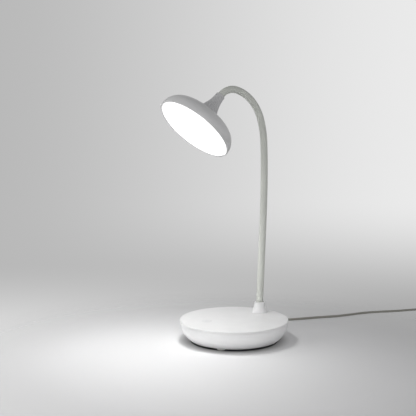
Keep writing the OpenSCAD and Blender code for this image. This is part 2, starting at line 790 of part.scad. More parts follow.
// The threaded end of the neck: a cup for the last joint, a flange and a thread.
module head_ferrule() {
    thread_z = shade_h - shade_wall - 1.5 - nut_h - 2;
    color("silver") at_head() difference() {
        union() {
            translate([0, 0, shade_h]) cylinder(r = hose_r, h = bell_h + cup_lip);
            translate([0, 0, shade_h + 0.05]) cylinder(r = bush_flange_r, h = bush_flange_h);
            translate([0, 0, thread_z]) cylinder(r = bush_thread_r, h = shade_h + 1 - thread_z);
        }
        translate([0, 0, head_reach]) sphere(r = ball_r + ball_slip);
        cylinder(r = lead_bore_r, h = head_reach + stem_l);
    }
}

module head_nut() {
    color("silver") at_head() translate([0, 0, shade_h - shade_wall - 1.5 - nut_h])
        nut(nut_r, bush_thread_r + 0.05, nut_h);
}

// The lead's last length, from the neck down to the lamp board's back.
module head_lead() {
    color("white") at_head() translate([0, 0, led_board_z + 0.3])
        cylinder(r = lead_r, h = head_reach - ball_r - ball_slip - 0.2 - led_board_z - 0.3);
}

// ---------------------------------------------------------------- cord

module cord() {
    start = [exit_end.x, exit_end.y, cord_exit_z];
    before = [coil_before.x, coil_before.y, row_z(0)];
    entry = [coil_entry.x, coil_entry.y, row_z(0)];
    color("white") sweep(smooth_way(concat([start], cord_way, [before, entry])), cord_r, cord_fn,
        start = [exit_out.x, exit_out.y, 0],
        end = [cos(coil_in - 90), sin(coil_in - 90), 0]);
}

// The outer shape of the stored cord: one ring round all its turns.
module cord_coil() {
    color("white") difference() {
        translate([coil_at.x, coil_at.y, tie_t]) rotate_extrude()
            translate([coil_mid_r - coil_w / 2, 0]) square([coil_w, coil_h]);
        on_coil(coil_in) translate([-channel_l, -channel_w / 2, tie_t - over])
            cube([channel_l + 0.02, channel_w, coil_pitch + over]);
        on_coil(coil_out)
            translate([-0.02, -channel_w / 2, tie_t + coil_h - coil_pitch - over])
                cube([channel_l, channel_w, coil_pitch + 2 * over]);
    }
}

// Places children on the coil's outer turn, an angle a round it, with +x along the cord.
module on_coil(a) {
    translate([coil_at.x, coil_at.y, 0]) rotate([0, 0, a])
        translate([coil_run_r, 0, 0]) rotate([0, 0, -90]) children();
}

module cord_tail() {
    color("white") on_coil(coil_out) sweep(smooth_way([[0, 0, row_z(coil_rows - 1)],
        [coil_lead * 0.8, 0, row_z(coil_rows - 1)], [tail_l, 0, plug_z]], 4),
        cord_r, cord_fn, start = [1, 0, 0], end = [1, 0, 0]);
}

// A soft strap round the coil's turns at one side.
module cord_tie() {
    color("gray") translate([coil_at.x, coil_at.y, 0]) rotate([0, 0, tie_az])
        translate([coil_mid_r, 0, 0]) difference() {
            translate([-coil_w / 2 - tie_t, -tie_w / 2, 0])
                cube([coil_w + 2 * tie_t, tie_w, coil_h + 2 * tie_t]);
            // Its inside follows the coil's round faces.
            translate([-coil_mid_r, 0, tie_t])
                tube(coil_mid_r + coil_w / 2 + 0.05, coil_mid_r - coil_w / 2 - 0.05, coil_h);
        }
}

module plug_body() {
    color("white") on_coil(coil_out) translate([tail_l, 0, plug_z]) difference() {
        union() {
            rotate([0, 90, 0]) cylinder(r1 = cord_r + 0.6, r2 = cord_r + 1.4, h = plug_relief_l);
            translate([plug_relief_l, -plug_w / 2, -plug_z]) cube([plug_l, plug_w, 2 * plug_z]);
        }
        translate([plug_relief_l + plug_l - 2, -shell_w / 2, -shell_h / 2])
            cube([2 + over, shell_w, shell_h]);
    }
}

module plug_shell() {
    color("silver") on_coil(coil_out)
        translate([tail_l + plug_relief_l + plug_l - 2, -shell_w / 2, plug_z - shell_h / 2])
            difference() {
                cube([shell_l + 2, shell_w, shell_h]);
                translate([2, shell_t, shell_t])
                    cube([shell_l + over, shell_w - 2 * shell_t, shell_h - 2 * shell_t]);
                for (y = [shell_w / 4, 3 * shell_w / 4]) translate([6.5, y - 1.2, -over])
                    cube([2.5, 2.4, shell_h + 2 * over]);
            }
}

// The contact carrier inside the plug's shell, with four contacts on it.
module plug_tongue() {
    tongue_h = 1.8;
    color("dimgray") on_coil(coil_out)
        translate([tail_l + plug_relief_l + plug_l, 0, plug_z - shell_h / 2 + shell_t]) {
            translate([0, -shell_w / 2 + shell_t, 0])
                cube([shell_l - 1, shell_w - 2 * shell_t, tongue_h]);
            for (k = [-1.5:1:1.5]) translate([2, k * 2.4 - 0.5, tongue_h]) cube([8, 1, 0.15]);
        }
}

// ---------------------------------------------------------------- nodes

base_lid();
base_bowl();
base_plate();
counterweight();
weight_screws();
base_screws();
rubber_feet();
driver_board();
driver_parts();
board_screws();
touch_spring();
base_leads();
cord_clamp();
cord_boot();
neck_collar();
neck_bush();
neck_nut();
for (k = [1:stretches]) {
    neck_sleeve(k - 1);
    neck_hose(k - 1);
    neck_lead(k - 1);
}
head_bell();
head_ferrule();
head_nut();
head_shade();
heat_plate();
head_screws();
led_board();
led_chips();
head_lead();
reflector();
diffuser();
diffuser_ring();
cord();
cord_coil();
cord_tail();
cord_tie();
plug_body();
plug_shell();
plug_tongue();
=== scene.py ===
"""Gooseneck desk lamp: its finished looks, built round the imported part.

Sizes are in millimetres, apart from the studio's, which are in metres.
"""

import logging
import math
from dataclasses import dataclass, field
from enum import Enum
from typing import Callable, Iterable, Sequence

import bmesh
import bpy
from mathutils import Matrix, Vector


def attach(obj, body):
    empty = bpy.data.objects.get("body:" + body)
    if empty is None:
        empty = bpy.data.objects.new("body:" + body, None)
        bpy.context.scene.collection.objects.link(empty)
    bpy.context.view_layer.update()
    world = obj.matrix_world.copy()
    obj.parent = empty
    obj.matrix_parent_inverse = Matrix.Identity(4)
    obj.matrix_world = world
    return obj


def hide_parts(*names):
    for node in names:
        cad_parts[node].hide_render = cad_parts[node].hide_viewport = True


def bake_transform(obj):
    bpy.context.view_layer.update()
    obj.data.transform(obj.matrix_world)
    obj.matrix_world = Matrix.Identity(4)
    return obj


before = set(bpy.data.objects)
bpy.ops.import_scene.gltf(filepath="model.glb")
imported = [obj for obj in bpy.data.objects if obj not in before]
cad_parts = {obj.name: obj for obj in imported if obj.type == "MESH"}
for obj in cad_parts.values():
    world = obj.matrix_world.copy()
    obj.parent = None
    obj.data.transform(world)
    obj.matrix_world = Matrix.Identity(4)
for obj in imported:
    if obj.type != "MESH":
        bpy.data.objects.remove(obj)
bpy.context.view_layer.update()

MM = 0.001
TINY = 1e-7
SMALL_ROUND = 48
Outline = list[tuple[float, float]]
Colour = tuple[float, float, float]
Point = tuple[float, float, float]
log = logging.getLogger("desk_lamp")


class Body(Enum):
    """The rigid bodies that pieces ride on."""

    BASE = "base"
    HEAD = "head"


class Slot(Enum):
    """The record's material slots."""

    LID = "lid_white"
    BOWL = "bowl_white"
    COLLAR = "collar_white"
    FEET = "foot_rubber"
    NECK = "neck_silicone"
    HOSE = "hose_steel"
    LEAD = "lead_white"
    SHADE = "shade_white"
    BELL = "bell_grey"
    DIFFUSER = "diffuser_opal"
    CORD = "cord_grey"
    TIE = "tie_grey"


class LightShape(Enum):
    """The outlines of the studio's lights."""

    SQUARE = "SQUARE"
    ROUND = "DISK"


# ---------------------------------------------------------------- shader trees


def math_operator(
    kind: str, swapped: bool = False
) -> Callable[["Sock", "Sock | float"], "Sock"]:
    """A Python operator that adds a Math node.

    Args:
        kind: the node's operation.
        swapped: puts the other side first, for a reflected form.

    Returns:
        The operator, for the class of sockets.
    """

    def act(one: "Sock", other: "Sock | float") -> "Sock":
        """Adds the Math node over both sides."""
        return one.math_node(kind, *((other, one) if swapped else (one, other)))

    return act


class Sock:
    """An output socket of a finish's tree, which takes part in Python sums."""

    def __init__(self, tree: "Tree", node: bpy.types.Node, output: int | str = 0) -> None:
        """Wraps one output of a node."""
        self.tree, self.node = tree, node
        self.socket = node.outputs[output] if node.outputs else None

    def out(self, output: int | str) -> "Sock":
        """Returns another output of the same node."""
        return Sock(self.tree, self.node, output)

    def math_node(self, kind: str, *values: "Sock | float") -> "Sock":
        """Adds a Math node over the values."""
        return self.tree.add("Math", {"operation": kind}, dict(enumerate(values)))

    __add__ = __radd__ = math_operator("ADD")
    __sub__ = math_operator("SUBTRACT")
    __rsub__ = math_operator("SUBTRACT", swapped=True)
    __mul__ = __rmul__ = math_operator("MULTIPLY")
    __truediv__ = math_operator("DIVIDE")
    __rtruediv__ = math_operator("DIVIDE", swapped=True)

    def below(self, limit: float) -> "Sock":
        """1 where the value is under the limit, and 0 elsewhere."""
        return self.math_node("LESS_THAN", self, limit)

    def ranged(
        self, low: float, high: float, to_low: float = 0, to_high: float = 1
    ) -> "Sock":
        """The value spread smoothly from one range to another, and held at its ends.

        Args:
            low, high: the range read.
            to_low, to_high: the range given.

        Returns:
            The new value.
        """
        return self.tree.add(
            "MapRange",
            {"interpolation_type": "SMOOTHSTEP", "clamp": True},
            {0: self, 1: low, 2: high, 3: to_low, 4: to_high},
        )


class Tree:
    """The node tree of one finish, or of the studio's room."""

    def __init__(self, name: str, room: bool = False) -> None:
        """Starts an empty tree.

        Args:
            name: the material's or the room's name.
            room: starts a world in place of a material.
        """
        self.owner = (bpy.data.worlds if room else bpy.data.materials).new(name)
        self.owner.use_nodes = True
        self.nodes = self.owner.node_tree.nodes
        self.links = self.owner.node_tree.links
        self.nodes.clear()

    def add(
        self,
        kind: str,
        settings: dict | None = None,
        values: dict | None = None,
        output: int | str = 0,
    ) -> Sock:
        """Adds a node.

        Args:
            kind: its type, without the words ShaderNode.
            settings: its own settings, which are made first.
            values: its sockets, by name or place, as numbers or links.
            output: the output that is given back.

        Returns:
            That output.
        """
        node = self.nodes.new("ShaderNode" + kind)
        for key, value in (settings or {}).items():
            setattr(node, key, value)
        for key, value in (values or {}).items():
            if isinstance(value, Sock):
                self.links.new(value.socket, node.inputs[key])
            else:
                node.inputs[key].default_value = value
        return Sock(self, node, output)

    def place(self, stretch: Sequence[float] = (1, 1, 1), turn: float = 0) -> Sock:
        """Object coordinates, stretched and turned about Z by degrees.

        Args:
            stretch: the scale along each axis.
            turn: the turn about Z.

        Returns:
            The coordinates.
        """
        at = self.add("TexCoord", output="Object")
        if tuple(stretch) == (1, 1, 1) and not turn:
            return at
        return self.add(
            "Mapping",
            {},
            {"Vector": at, "Scale": tuple(stretch), "Rotation": (0, 0, math.radians(turn))},
        )

    def noise(
        self, at: Sock, per_metre: float, detail: float = 2, roughness: float = 0.5
    ) -> Sock:
        """Cloudy noise, with so many features to the metre.

        Args:
            at: where it is read.
            per_metre: how many features a metre holds.
            detail: how many finer layers it has.
            roughness: how strong those are.

        Returns:
            The noise, from 0 to 1.
        """
        return self.add(
            "TexNoise",
            {},
            {"Vector": at, "Scale": per_metre, "Detail": detail, "Roughness": roughness},
        )

    def cells(self, at: Sock, per_metre: float) -> Sock:
        """Distance to the nearest of many scattered points."""
        return self.add("TexVoronoi", {"feature": "F1"}, {"Vector": at, "Scale": per_metre})

    def along(self, at: Sock, way: Sequence[float]) -> Sock:
        """How far a place lies along a direction.

        Args:
            at: the place.
            way: the direction, of length 1.

        Returns:
            The distance.
        """
        return self.add(
            "VectorMath", {"operation": "DOT_PRODUCT"}, {0: at, 1: tuple(way)}, "Value"
        )

    def away(self, at: Sock, centre: Sequence[float] = (0, 0, 0)) -> Sock:
        """How far a place lies from a point.

        Args:
            at: the place.
            centre: the point.

        Returns:
            The distance.
        """
        return self.add(
            "VectorMath", {"operation": "DISTANCE"}, {0: at, 1: tuple(centre)}, "Value"
        )

    def seen(self) -> Sock:
        """1 for rays from the camera, and for those that a surface mirrors or lets through.

        Returns:
            The mask.
        """
        path = self.add("LightPath")
        rays = path + path.out("Is Glossy Ray") + path.out("Is Transmission Ray")
        return rays.ranged(0, 1)

    def blend(self, low: Colour | Sock, high: Colour | Sock, share: Sock | float) -> Sock:
        """A colour between two others.

        Args:
            low: the colour at share 0.
            high: the colour at share 1.
            share: how much of the second.

        Returns:
            The mixed colour.
        """
        ends = [c if isinstance(c, Sock) else (*c, 1) for c in (low, high)]
        return self.add("Mix", {"data_type": "RGBA"}, {0: share, 6: ends[0], 7: ends[1]}, 2)

    def bump(
        self, height: Sock, depth: float, strength: float = 1, after: Sock | None = None
    ) -> Sock:
        """A bumped normal.

        Args:
            height: the pattern, from 0 to 1.
            depth: how deep it goes, in millimetres.
            strength: how much of it shows.
            after: a normal that it goes on top of.

        Returns:
            The normal.
        """
        values = {"Height": height, "Distance": depth * MM, "Strength": strength}
        if after:
            values["Normal"] = after
        return self.add("Bump", {}, values)

    def shade(self, **sockets: Sock | float | tuple) -> bpy.types.Material:
        """Ends the tree in a Principled shader.

        Args:
            sockets: the shader's sockets, with _ for each space.

        Returns:
            The material.
        """
        values = {}
        for key, value in sockets.items():
            if isinstance(value, tuple) and len(value) == 3:
                value = (*value, 1)
            values[key.replace("_", " ")] = value
        surface = self.add("BsdfPrincipled", {}, values)
        self.add("OutputMaterial", {}, {"Surface": surface})
        return self.owner


# ---------------------------------------------------------------- finishes


@dataclass(frozen=True)
class Finish:
    """What all finishes share: a name and a colour, and one material made once."""

    name: str
    colour: Colour

    def tint(self, share: float) -> Colour:
        """The colour made lighter or darker by a share."""
        return tuple(min(1.0, c * share) for c in self.colour)

    def material(self) -> bpy.types.Material:
        """The finish's material, made at the first call."""
        made = bpy.data.materials.get(self.name)
        return made or self.build(Tree(self.name))

    def build(self, tree: Tree) -> bpy.types.Material:
        """Makes the material in an empty tree."""
        raise NotImplementedError


@dataclass(frozen=True)
class MouldedPlastic(Finish):
    """Moulded plastic with a fine spark grain, flow marks and a little dust."""

    roughness: float = 0.42
    grain: float = 0.012
    coat: float = 0.0
    tone: float = 0.03

    def build(self, tree: Tree) -> bpy.types.Material:
        """Makes the material in an empty tree.

        Args:
            tree: the empty tree.

        Returns:
            The material.
        """
        at = tree.place()
        broad = tree.noise(at, 14, 3)
        flow = tree.noise(tree.place((1, 1, 5)), 60, 4, 0.6)
        grain = tree.noise(at, 2400, 2, 0.6)
        pits = tree.cells(at, 1500)
        dust = tree.cells(at, 160).below(0.035)
        smear = tree.noise(at, 35, 5, 0.65)
        share = (broad * 0.6 + flow * 0.4).ranged(0.3, 0.7)
        colour = tree.blend(self.tint(1 - self.tone), self.tint(1 + self.tone), share)
        colour = tree.blend(colour, self.tint(0.82), dust * 0.5)
        rough = smear.ranged(0.35, 0.7, self.roughness - 0.05, self.roughness + 0.07)
        rough = rough + (grain - 0.5) * 0.08 + dust * 0.2
        normal = tree.bump(grain * 0.7 + pits * 0.3, self.grain)
        normal = tree.bump(flow, 0.05, 0.25, normal)
        return tree.shade(
            Base_Color=colour, Roughness=rough, Normal=normal, Coat_Weight=self.coat,
            Coat_Roughness=0.12,
        )


@dataclass(frozen=True)
class Silicone(Finish):
    """Soft dull silicone: a satin skin that holds a little lint and has a faint cloudiness."""

    roughness: float = 0.58

    def build(self, tree: Tree) -> bpy.types.Material:
        """Makes the material in an empty tree.

        Args:
            tree: the empty tree.

        Returns:
            The material.
        """
        at = tree.place()
        cloud = tree.noise(tree.place((1, 1, 0.4)), 45, 4, 0.6)
        skin = tree.noise(at, 1800, 3, 0.65)
        drawn = tree.noise(tree.place((1, 1, 0.06)), 900, 2)
        lint = tree.cells(tree.place((1, 1, 0.3)), 260).below(0.04)
        colour = tree.blend(self.tint(0.98), self.tint(1.02), cloud.ranged(0.3, 0.7))
        colour = tree.blend(colour, self.tint(1.1), lint * 0.4)
        rough = cloud.ranged(0.3, 0.7, self.roughness - 0.06, self.roughness + 0.08)
        normal = tree.bump(skin * 0.6 + drawn * 0.4, 0.003)
        return tree.shade(
            Base_Color=colour, Roughness=rough + (skin - 0.5) * 0.1, Normal=normal,
            Sheen_Weight=0.12, Sheen_Roughness=0.5,
        )


@dataclass(frozen=True)
class Metal(Finish):
    """Drawn or turned metal with fine streaks along one way and a few rubbed marks."""

    roughness: float = 0.3
    streak: tuple[float, float, float] = (1, 1, 0.04)
    metallic: float = 1.0

    def build(self, tree: Tree) -> bpy.types.Material:
        """Makes the material in an empty tree.

        Args:
            tree: the empty tree.

        Returns:
            The material.
        """
        at = tree.place()
        drawn = tree.noise(tree.place(self.streak), 3000, 3, 0.6)
        cloud = tree.noise(at, 90, 4)
        rubbed = tree.cells(tree.place((1, 0.2, 1), 35), 420).below(0.05)
        colour = tree.blend(self.tint(0.86), self.tint(1.06), cloud.ranged(0.3, 0.7))
        colour = tree.blend(colour, self.tint(1.2), rubbed * 0.4)
        rough = self.roughness + (drawn - 0.5) * 0.2 + (cloud - 0.5) * 0.12
        return tree.shade(
            Base_Color=colour, Roughness=rough, Normal=tree.bump(drawn, 0.008),
            Metallic=self.metallic,
        )


@dataclass(frozen=True)
class CastSteel(Finish):
    """The counterweight's dull, scaly casting skin."""

    def build(self, tree: Tree) -> bpy.types.Material:
        """Makes the material in an empty tree.

        Args:
            tree: the empty tree.

        Returns:
            The material.
        """
        at = tree.place()
        scale = tree.noise(at, 260, 6, 0.7)
        sand = tree.cells(at, 900)
        rust = tree.noise(at, 70, 5, 0.7).ranged(0.6, 0.72)
        colour = tree.blend(self.tint(0.7), self.tint(1.25), scale)
        colour = tree.blend(colour, (0.12, 0.06, 0.035), rust * 0.6)
        normal = tree.bump(scale * 0.6 + sand * 0.4, 0.15)
        return tree.shade(
            Base_Color=colour, Roughness=scale.ranged(0.2, 0.8, 0.45, 0.8), Normal=normal,
            Metallic=1 - rust,
        )


@dataclass(frozen=True)
class CircuitBoard(Finish):
    """Solder resist over copper tracks, with tinned pads."""

    track: Colour = (0.03, 0.2, 0.07)

    def build(self, tree: Tree) -> bpy.types.Material:
        """Makes the material in an empty tree.

        Args:
            tree: the empty tree.

        Returns:
            The material.
        """
        at = tree.place()
        bricks = tree.add(
            "TexBrick",
            {"offset": 0.5, "squash": 1.0},
            {"Vector": at, "Scale": 180.0, "Mortar Size": 0.035, "Mortar Smooth": 0.2},
            "Fac",
        )
        pads = tree.cells(at, 240).below(0.16)
        weave = tree.add("TexWave", {}, {"Vector": at, "Scale": 900.0, "Distortion": 0.6}, "Fac")
        colour = tree.blend(self.colour, self.track, bricks)
        colour = tree.blend(colour, (0.62, 0.6, 0.55), pads)
        height = bricks * 0.4 + pads * 0.6 + weave * 0.1
        return tree.shade(
            Base_Color=colour, Roughness=pads.ranged(0, 1, 0.35, 0.22) + weave * 0.05,
            Metallic=pads * 0.9, Normal=tree.bump(height, 0.04),
        )


@dataclass(frozen=True)
class LitOpal(Finish):
    """The lit diffuser: opal plastic, brightest over its lamps, with a fine satin skin; on the
    trim ring it is a painted glow.
    """

    centre: tuple[float, float, float] = (0, 0, 0)
    radius: float = 52
    strength: float = 1.2

    def build(self, tree: Tree) -> bpy.types.Material:
        """Makes the material in an empty tree.

        Args:
            tree: the empty tree.

        Returns:
            The material.
        """
        at = tree.add("TexCoord", output="Object")
        edge = (tree.away(at, self.centre) / (self.radius * MM)).ranged(0.86, 1.0)
        cloud = tree.noise(at, 70, 3)
        skin = tree.noise(at, 2600, 2)
        glow = tree.blend((1, 1, 1), (0.9, 0.9, 0.92), edge)
        glow = tree.blend(glow, (0.97, 0.97, 0.95), cloud * 0.3)
        return tree.shade(
            Base_Color=tree.blend(self.tint(0.97), self.colour, cloud),
            Roughness=skin.ranged(0.3, 0.7, 0.45, 0.6),
            Normal=tree.bump(skin, 0.01), Emission_Color=glow, Emission_Strength=self.strength,
        )


@dataclass(frozen=True)
class Phosphor(Finish):
    """The yellow face of a small lamp in its white case."""

    def build(self, tree: Tree) -> bpy.types.Material:
        """Makes the material in an empty tree.

        Args:
            tree: the empty tree.

        Returns:
            The material.
        """
        at = tree.place()
        grit = tree.noise(at, 5200, 2, 0.7)
        case = tree.noise(at, 380, 1).ranged(0.56, 0.6)
        colour = tree.blend(self.tint(0.85), self.tint(1.1), grit)
        colour = tree.blend(colour, (0.85, 0.85, 0.82), case)
        return tree.shade(
            Base_Color=colour, Roughness=grit.ranged(0.2, 0.8, 0.3, 0.5),
            Normal=tree.bump(grit, 0.02), Emission_Color=colour, Emission_Strength=0.4,
        )


@dataclass(frozen=True)
class WovenStrap(Finish):
    """Napped hook-and-loop tape: a plain weave under a soft nap."""

    def build(self, tree: Tree) -> bpy.types.Material:
        """Makes the material in an empty tree.

        Args:
            tree: the empty tree.

        Returns:
            The material.
        """
        at = tree.place()
        warp = tree.add("TexWave", {"bands_direction": "X"}, {"Vector": at, "Scale": 520.0}, "Fac")
        weft = tree.add("TexWave", {"bands_direction": "Y"}, {"Vector": at, "Scale": 520.0}, "Fac")
        nap = tree.noise(at, 2200, 4, 0.75)
        weave = warp * weft
        colour = tree.blend(self.tint(0.75), self.tint(1.15), weave * 0.6 + nap * 0.4)
        return tree.shade(
            Base_Color=colour, Roughness=nap.ranged(0.2, 0.8, 0.75, 0.95),
            Normal=tree.bump(weave * 0.5 + nap * 0.5, 0.2), Sheen_Weight=0.4,
        )


@dataclass(frozen=True)
class Jacket(Finish):
    """The cord's extruded jacket: drawn lines along it, slight waviness and handling marks."""

    def build(self, tree: Tree) -> bpy.types.Material:
        """Makes the material in an empty tree.

        Args:
            tree: the empty tree.

        Returns:
            The material.
        """
        at = tree.place()
        wave = tree.noise(at, 120, 2)
        skin = tree.noise(at, 3200, 2, 0.6)
        mark = tree.noise(at, 40, 5, 0.7).ranged(0.58, 0.75)
        colour = tree.blend(self.tint(0.96), self.tint(1.03), wave)
        colour = tree.blend(colour, self.tint(0.88), mark * 0.5)
        rough = wave.ranged(0.3, 0.7, 0.36, 0.46) + mark * 0.12
        normal = tree.bump(skin, 0.012)
        normal = tree.bump(wave, 0.12, 0.3, normal)
        return tree.shade(Base_Color=colour, Roughness=rough, Normal=normal)


WHITE = MouldedPlastic("white_lid_plastic", (0.86, 0.86, 0.855), roughness=0.36, coat=0.08)
BOWL = MouldedPlastic("white_bowl_plastic", (0.86, 0.86, 0.86), roughness=0.44)
COLLAR = MouldedPlastic("white_collar_plastic", (0.76, 0.76, 0.76), roughness=0.38)
# The lampshade is white plastic like the lid; its greyer colour is painted shade for the dim light
# that falls on it.
SHADE = MouldedPlastic("lampshade_plastic_greyed_as_painted_shade", (0.66, 0.66, 0.66), roughness=0.4, coat=0.25)
# The bell's grey is partly its own, a little greyer than the lampshade, and partly painted shade
# for the dim light that falls on it.
BELL = MouldedPlastic("grey_bell_plastic_with_painted_shade", (0.56, 0.56, 0.565), roughness=0.5, grain=0.006)
# The base plate's dark grey is partly its own colour and partly painted shade that deepens the
# dark gap under the base.
UNDERSIDE = MouldedPlastic("dark_underside_plastic_with_painted_shade", (0.3, 0.3, 0.3), roughness=0.6, grain=0.04)
CLAMP = MouldedPlastic("grey_clamp_plastic", (0.5, 0.5, 0.5), roughness=0.55)
BLACK = MouldedPlastic("black_component_plastic", (0.03, 0.03, 0.032), roughness=0.45, tone=0.15)
PAN = MouldedPlastic("white_pan_plastic", (0.88, 0.88, 0.88), roughness=0.25, grain=0.004)
PRINT = MouldedPlastic("grey_print", (0.55, 0.56, 0.57), roughness=0.35, grain=0.004)
FOOT = Silicone("pale_foot_rubber", (0.85, 0.85, 0.83), roughness=0.72)
NECK = Silicone("grey_green_silicone", (0.61, 0.625, 0.58))
STEEL = Metal("bright_screw_steel", (0.62, 0.62, 0.63), roughness=0.28)
WOUND = Metal("wound_hose_steel", (0.42, 0.42, 0.43), roughness=0.38, streak=(0.05, 0.05, 1))
PLATE = Metal("rolled_aluminium", (0.78, 0.78, 0.79), roughness=0.36, streak=(1, 0.03, 1))
CHROME = Metal("plated_plug_steel", (0.75, 0.75, 0.77), roughness=0.16)
WEIGHT = CastSteel("cast_weight_steel", (0.16, 0.16, 0.165))
BOARD = CircuitBoard("green_driver_board", (0.02, 0.12, 0.045))
LAMP_BOARD = CircuitBoard("white_lamp_board", (0.78, 0.78, 0.77), track=(0.7, 0.7, 0.68))
CHIPS = Phosphor("yellow_lamp_face", (0.85, 0.68, 0.16))
STRAP = WovenStrap("pale_strap", (0.55, 0.55, 0.56))
LEAD = Jacket("white_lead_jacket", (0.72, 0.72, 0.71))
CORD = Jacket("grey_cord_jacket", (0.27, 0.265, 0.235))

CAD_FINISHES: dict[str, Finish] = {
    "base_plate": UNDERSIDE, "counterweight": WEIGHT, "weight_screws": STEEL,
    "base_screws": STEEL, "driver_board": BOARD, "driver_parts": BLACK, "board_screws": STEEL,
    "touch_spring": STEEL, "base_leads": LEAD, "cord_clamp": CLAMP, "neck_bush": WOUND,
    "neck_nut": STEEL, "head_ferrule": WOUND, "head_nut": STEEL, "heat_plate": PLATE,
    "head_screws": STEEL, "led_board": LAMP_BOARD, "led_chips": CHIPS, "head_lead": LEAD,
    "reflector": PAN, "plug_shell": CHROME, "plug_tongue": BLACK,
}


# ---------------------------------------------------------------- modelling by hand


def put_down() -> None:
    """Leaves edit mode and deselects everything."""
    if bpy.context.object and bpy.context.object.mode != "OBJECT":
        bpy.ops.object.mode_set(mode="OBJECT")
    bpy.ops.object.select_all(action="DESELECT")


def take(obj: bpy.types.Object) -> None:
    """Selects one object alone and makes it the active one.

    Args:
        obj: the object.
    """
    put_down()
    obj.select_set(True)
    bpy.context.view_layer.objects.active = obj


def edit(obj: bpy.types.Object) -> None:
    """Starts edit mode on one object with all of it selected.

    Args:
        obj: the object.
    """
    take(obj)
    bpy.ops.object.mode_set(mode="EDIT")
    bpy.ops.mesh.select_mode(type="VERT")
    bpy.ops.mesh.select_all(action="SELECT")


def pick(
    obj: bpy.types.Object, wanted: Callable[[bmesh.types.BMVert], bool], add: bool = False
) -> None:
    """Selects the vertices that a test wants, in edit mode.

    Args:
        obj: the object being edited.
        wanted: the test.
        add: keeps what is already selected.
    """
    if not add:
        bpy.ops.mesh.select_all(action="DESELECT")
    mesh = bmesh.from_edit_mesh(obj.data)
    for vert in mesh.verts:
        if wanted(vert):
            vert.select_set(True)
    mesh.select_flush_mode()
    bmesh.update_edit_mesh(obj.data)


def fix(obj: bpy.types.Object, name: str) -> bpy.types.Object:
    """Applies an object's place, turn and size to its mesh, and names it.

    Args:
        obj: the object.
        name: its name.

    Returns:
        The object.
    """
    take(obj)
    bpy.ops.object.transform_apply(location=True, rotation=True, scale=True)
    obj.name = obj.data.name = name
    return obj


def modify(obj: bpy.types.Object, kind: str, **settings: object) -> bpy.types.Object:
    """Adds a modifier with these settings and applies it.

    Args:
        obj: the object.
        kind: the modifier's type.
        settings: its settings.

    Returns:
        The object.
    """
    take(obj)
    made = obj.modifiers.new(kind.lower(), kind)
    for key, value in settings.items():
        setattr(made, key, value)
    bpy.ops.object.modifier_apply(modifier=made.name)
    return obj


def cut(obj: bpy.types.Object, cutter: bpy.types.Object) -> bpy.types.Object:
    """Cuts one object's shape out of another, and removes the cutter.

    Args:
        obj: the object that is cut.
        cutter: the shape that is cut out.

    Returns:
        The cut object.
    """
    modify(obj, "BOOLEAN", operation="DIFFERENCE", object=cutter, solver="EXACT")
    bpy.data.objects.remove(cutter)
    return obj


def join(obj: bpy.types.Object, others: Iterable[bpy.types.Object]) -> bpy.types.Object:
    """Joins other objects into the first one.

    Args:
        obj: the object that stays.
        others: those that join it.

    Returns:
        The joined object.
    """
    put_down()
    for other in others:
        other.select_set(True)
    obj.select_set(True)
    bpy.context.view_layer.objects.active = obj
    bpy.ops.object.join()
    return obj


def extrude(way: Sequence[float]) -> None:
    """Extrudes what is selected in edit mode, by metres."""
    bpy.ops.mesh.extrude_region_move(TRANSFORM_OT_translate={"value": way})


def outwards() -> None:
    """Turns all faces outwards in edit mode, and leaves it."""
    bpy.ops.mesh.select_all(action="SELECT")
    bpy.ops.mesh.normals_make_consistent(inside=False)
    put_down()


def arc(
    r: float, z: float, radius: float, start: float, end: float, steps: int = 6
) -> Outline:
    """Points of an outline on an arc about (r, z), by degrees from +r towards +z."""
    angles = [math.radians(start + (end - start) * k / steps) for k in range(steps + 1)]
    return [(r + radius * math.cos(a), z + radius * math.sin(a)) for a in angles]


def turned(
    name: str, outline: Outline, segments: int = 128, ring: bool = True
) -> bpy.types.Object:
    """Turns an outline about Z: a circle is extruded and resized from point to point.

    Args:
        name: the piece's name.
        outline: radius and height of each point, in millimetres.
        segments: how many faces go round.
        ring: joins the last point to the first; otherwise both ends get a flat cap.

    Returns:
        The piece, on the Z axis.
    """
    radius, height = outline[0]
    put_down()
    bpy.ops.mesh.primitive_circle_add(
        vertices=segments, radius=radius * MM, location=(0, 0, height * MM)
    )
    obj = fix(bpy.context.object, name)
    edit(obj)
    for (r0, z0), (r1, z1) in zip(outline, outline[1:]):
        extrude((0, 0, (z1 - z0) * MM))
        if abs(r1 - r0) > TINY:
            bpy.ops.transform.resize(value=(r1 / r0, r1 / r0, 1))
    if ring:
        pick(obj, lambda v: v.index < segments, add=True)
        bpy.ops.mesh.bridge_edge_loops()
    else:
        bpy.ops.mesh.edge_face_add()
        pick(obj, lambda v: v.index < segments)
        bpy.ops.mesh.edge_face_add()
    outwards()
    return obj


def rod(
    name: str, radius: float, low: float, high: float,
    at: tuple[float, float] = (0, 0), segments: int = 32,
) -> bpy.types.Object:
    """A round upright bar between two heights.

    Args:
        name: the piece's name.
        radius: its radius.
        low, high: its two heights.
        at: where it stands.
        segments: how many faces go round.

    Returns:
        The bar.
    """
    put_down()
    bpy.ops.mesh.primitive_cylinder_add(
        vertices=segments, radius=radius * MM, depth=(high - low) * MM,
        location=(at[0] * MM, at[1] * MM, (low + high) / 2 * MM),
    )
    return fix(bpy.context.object, name)


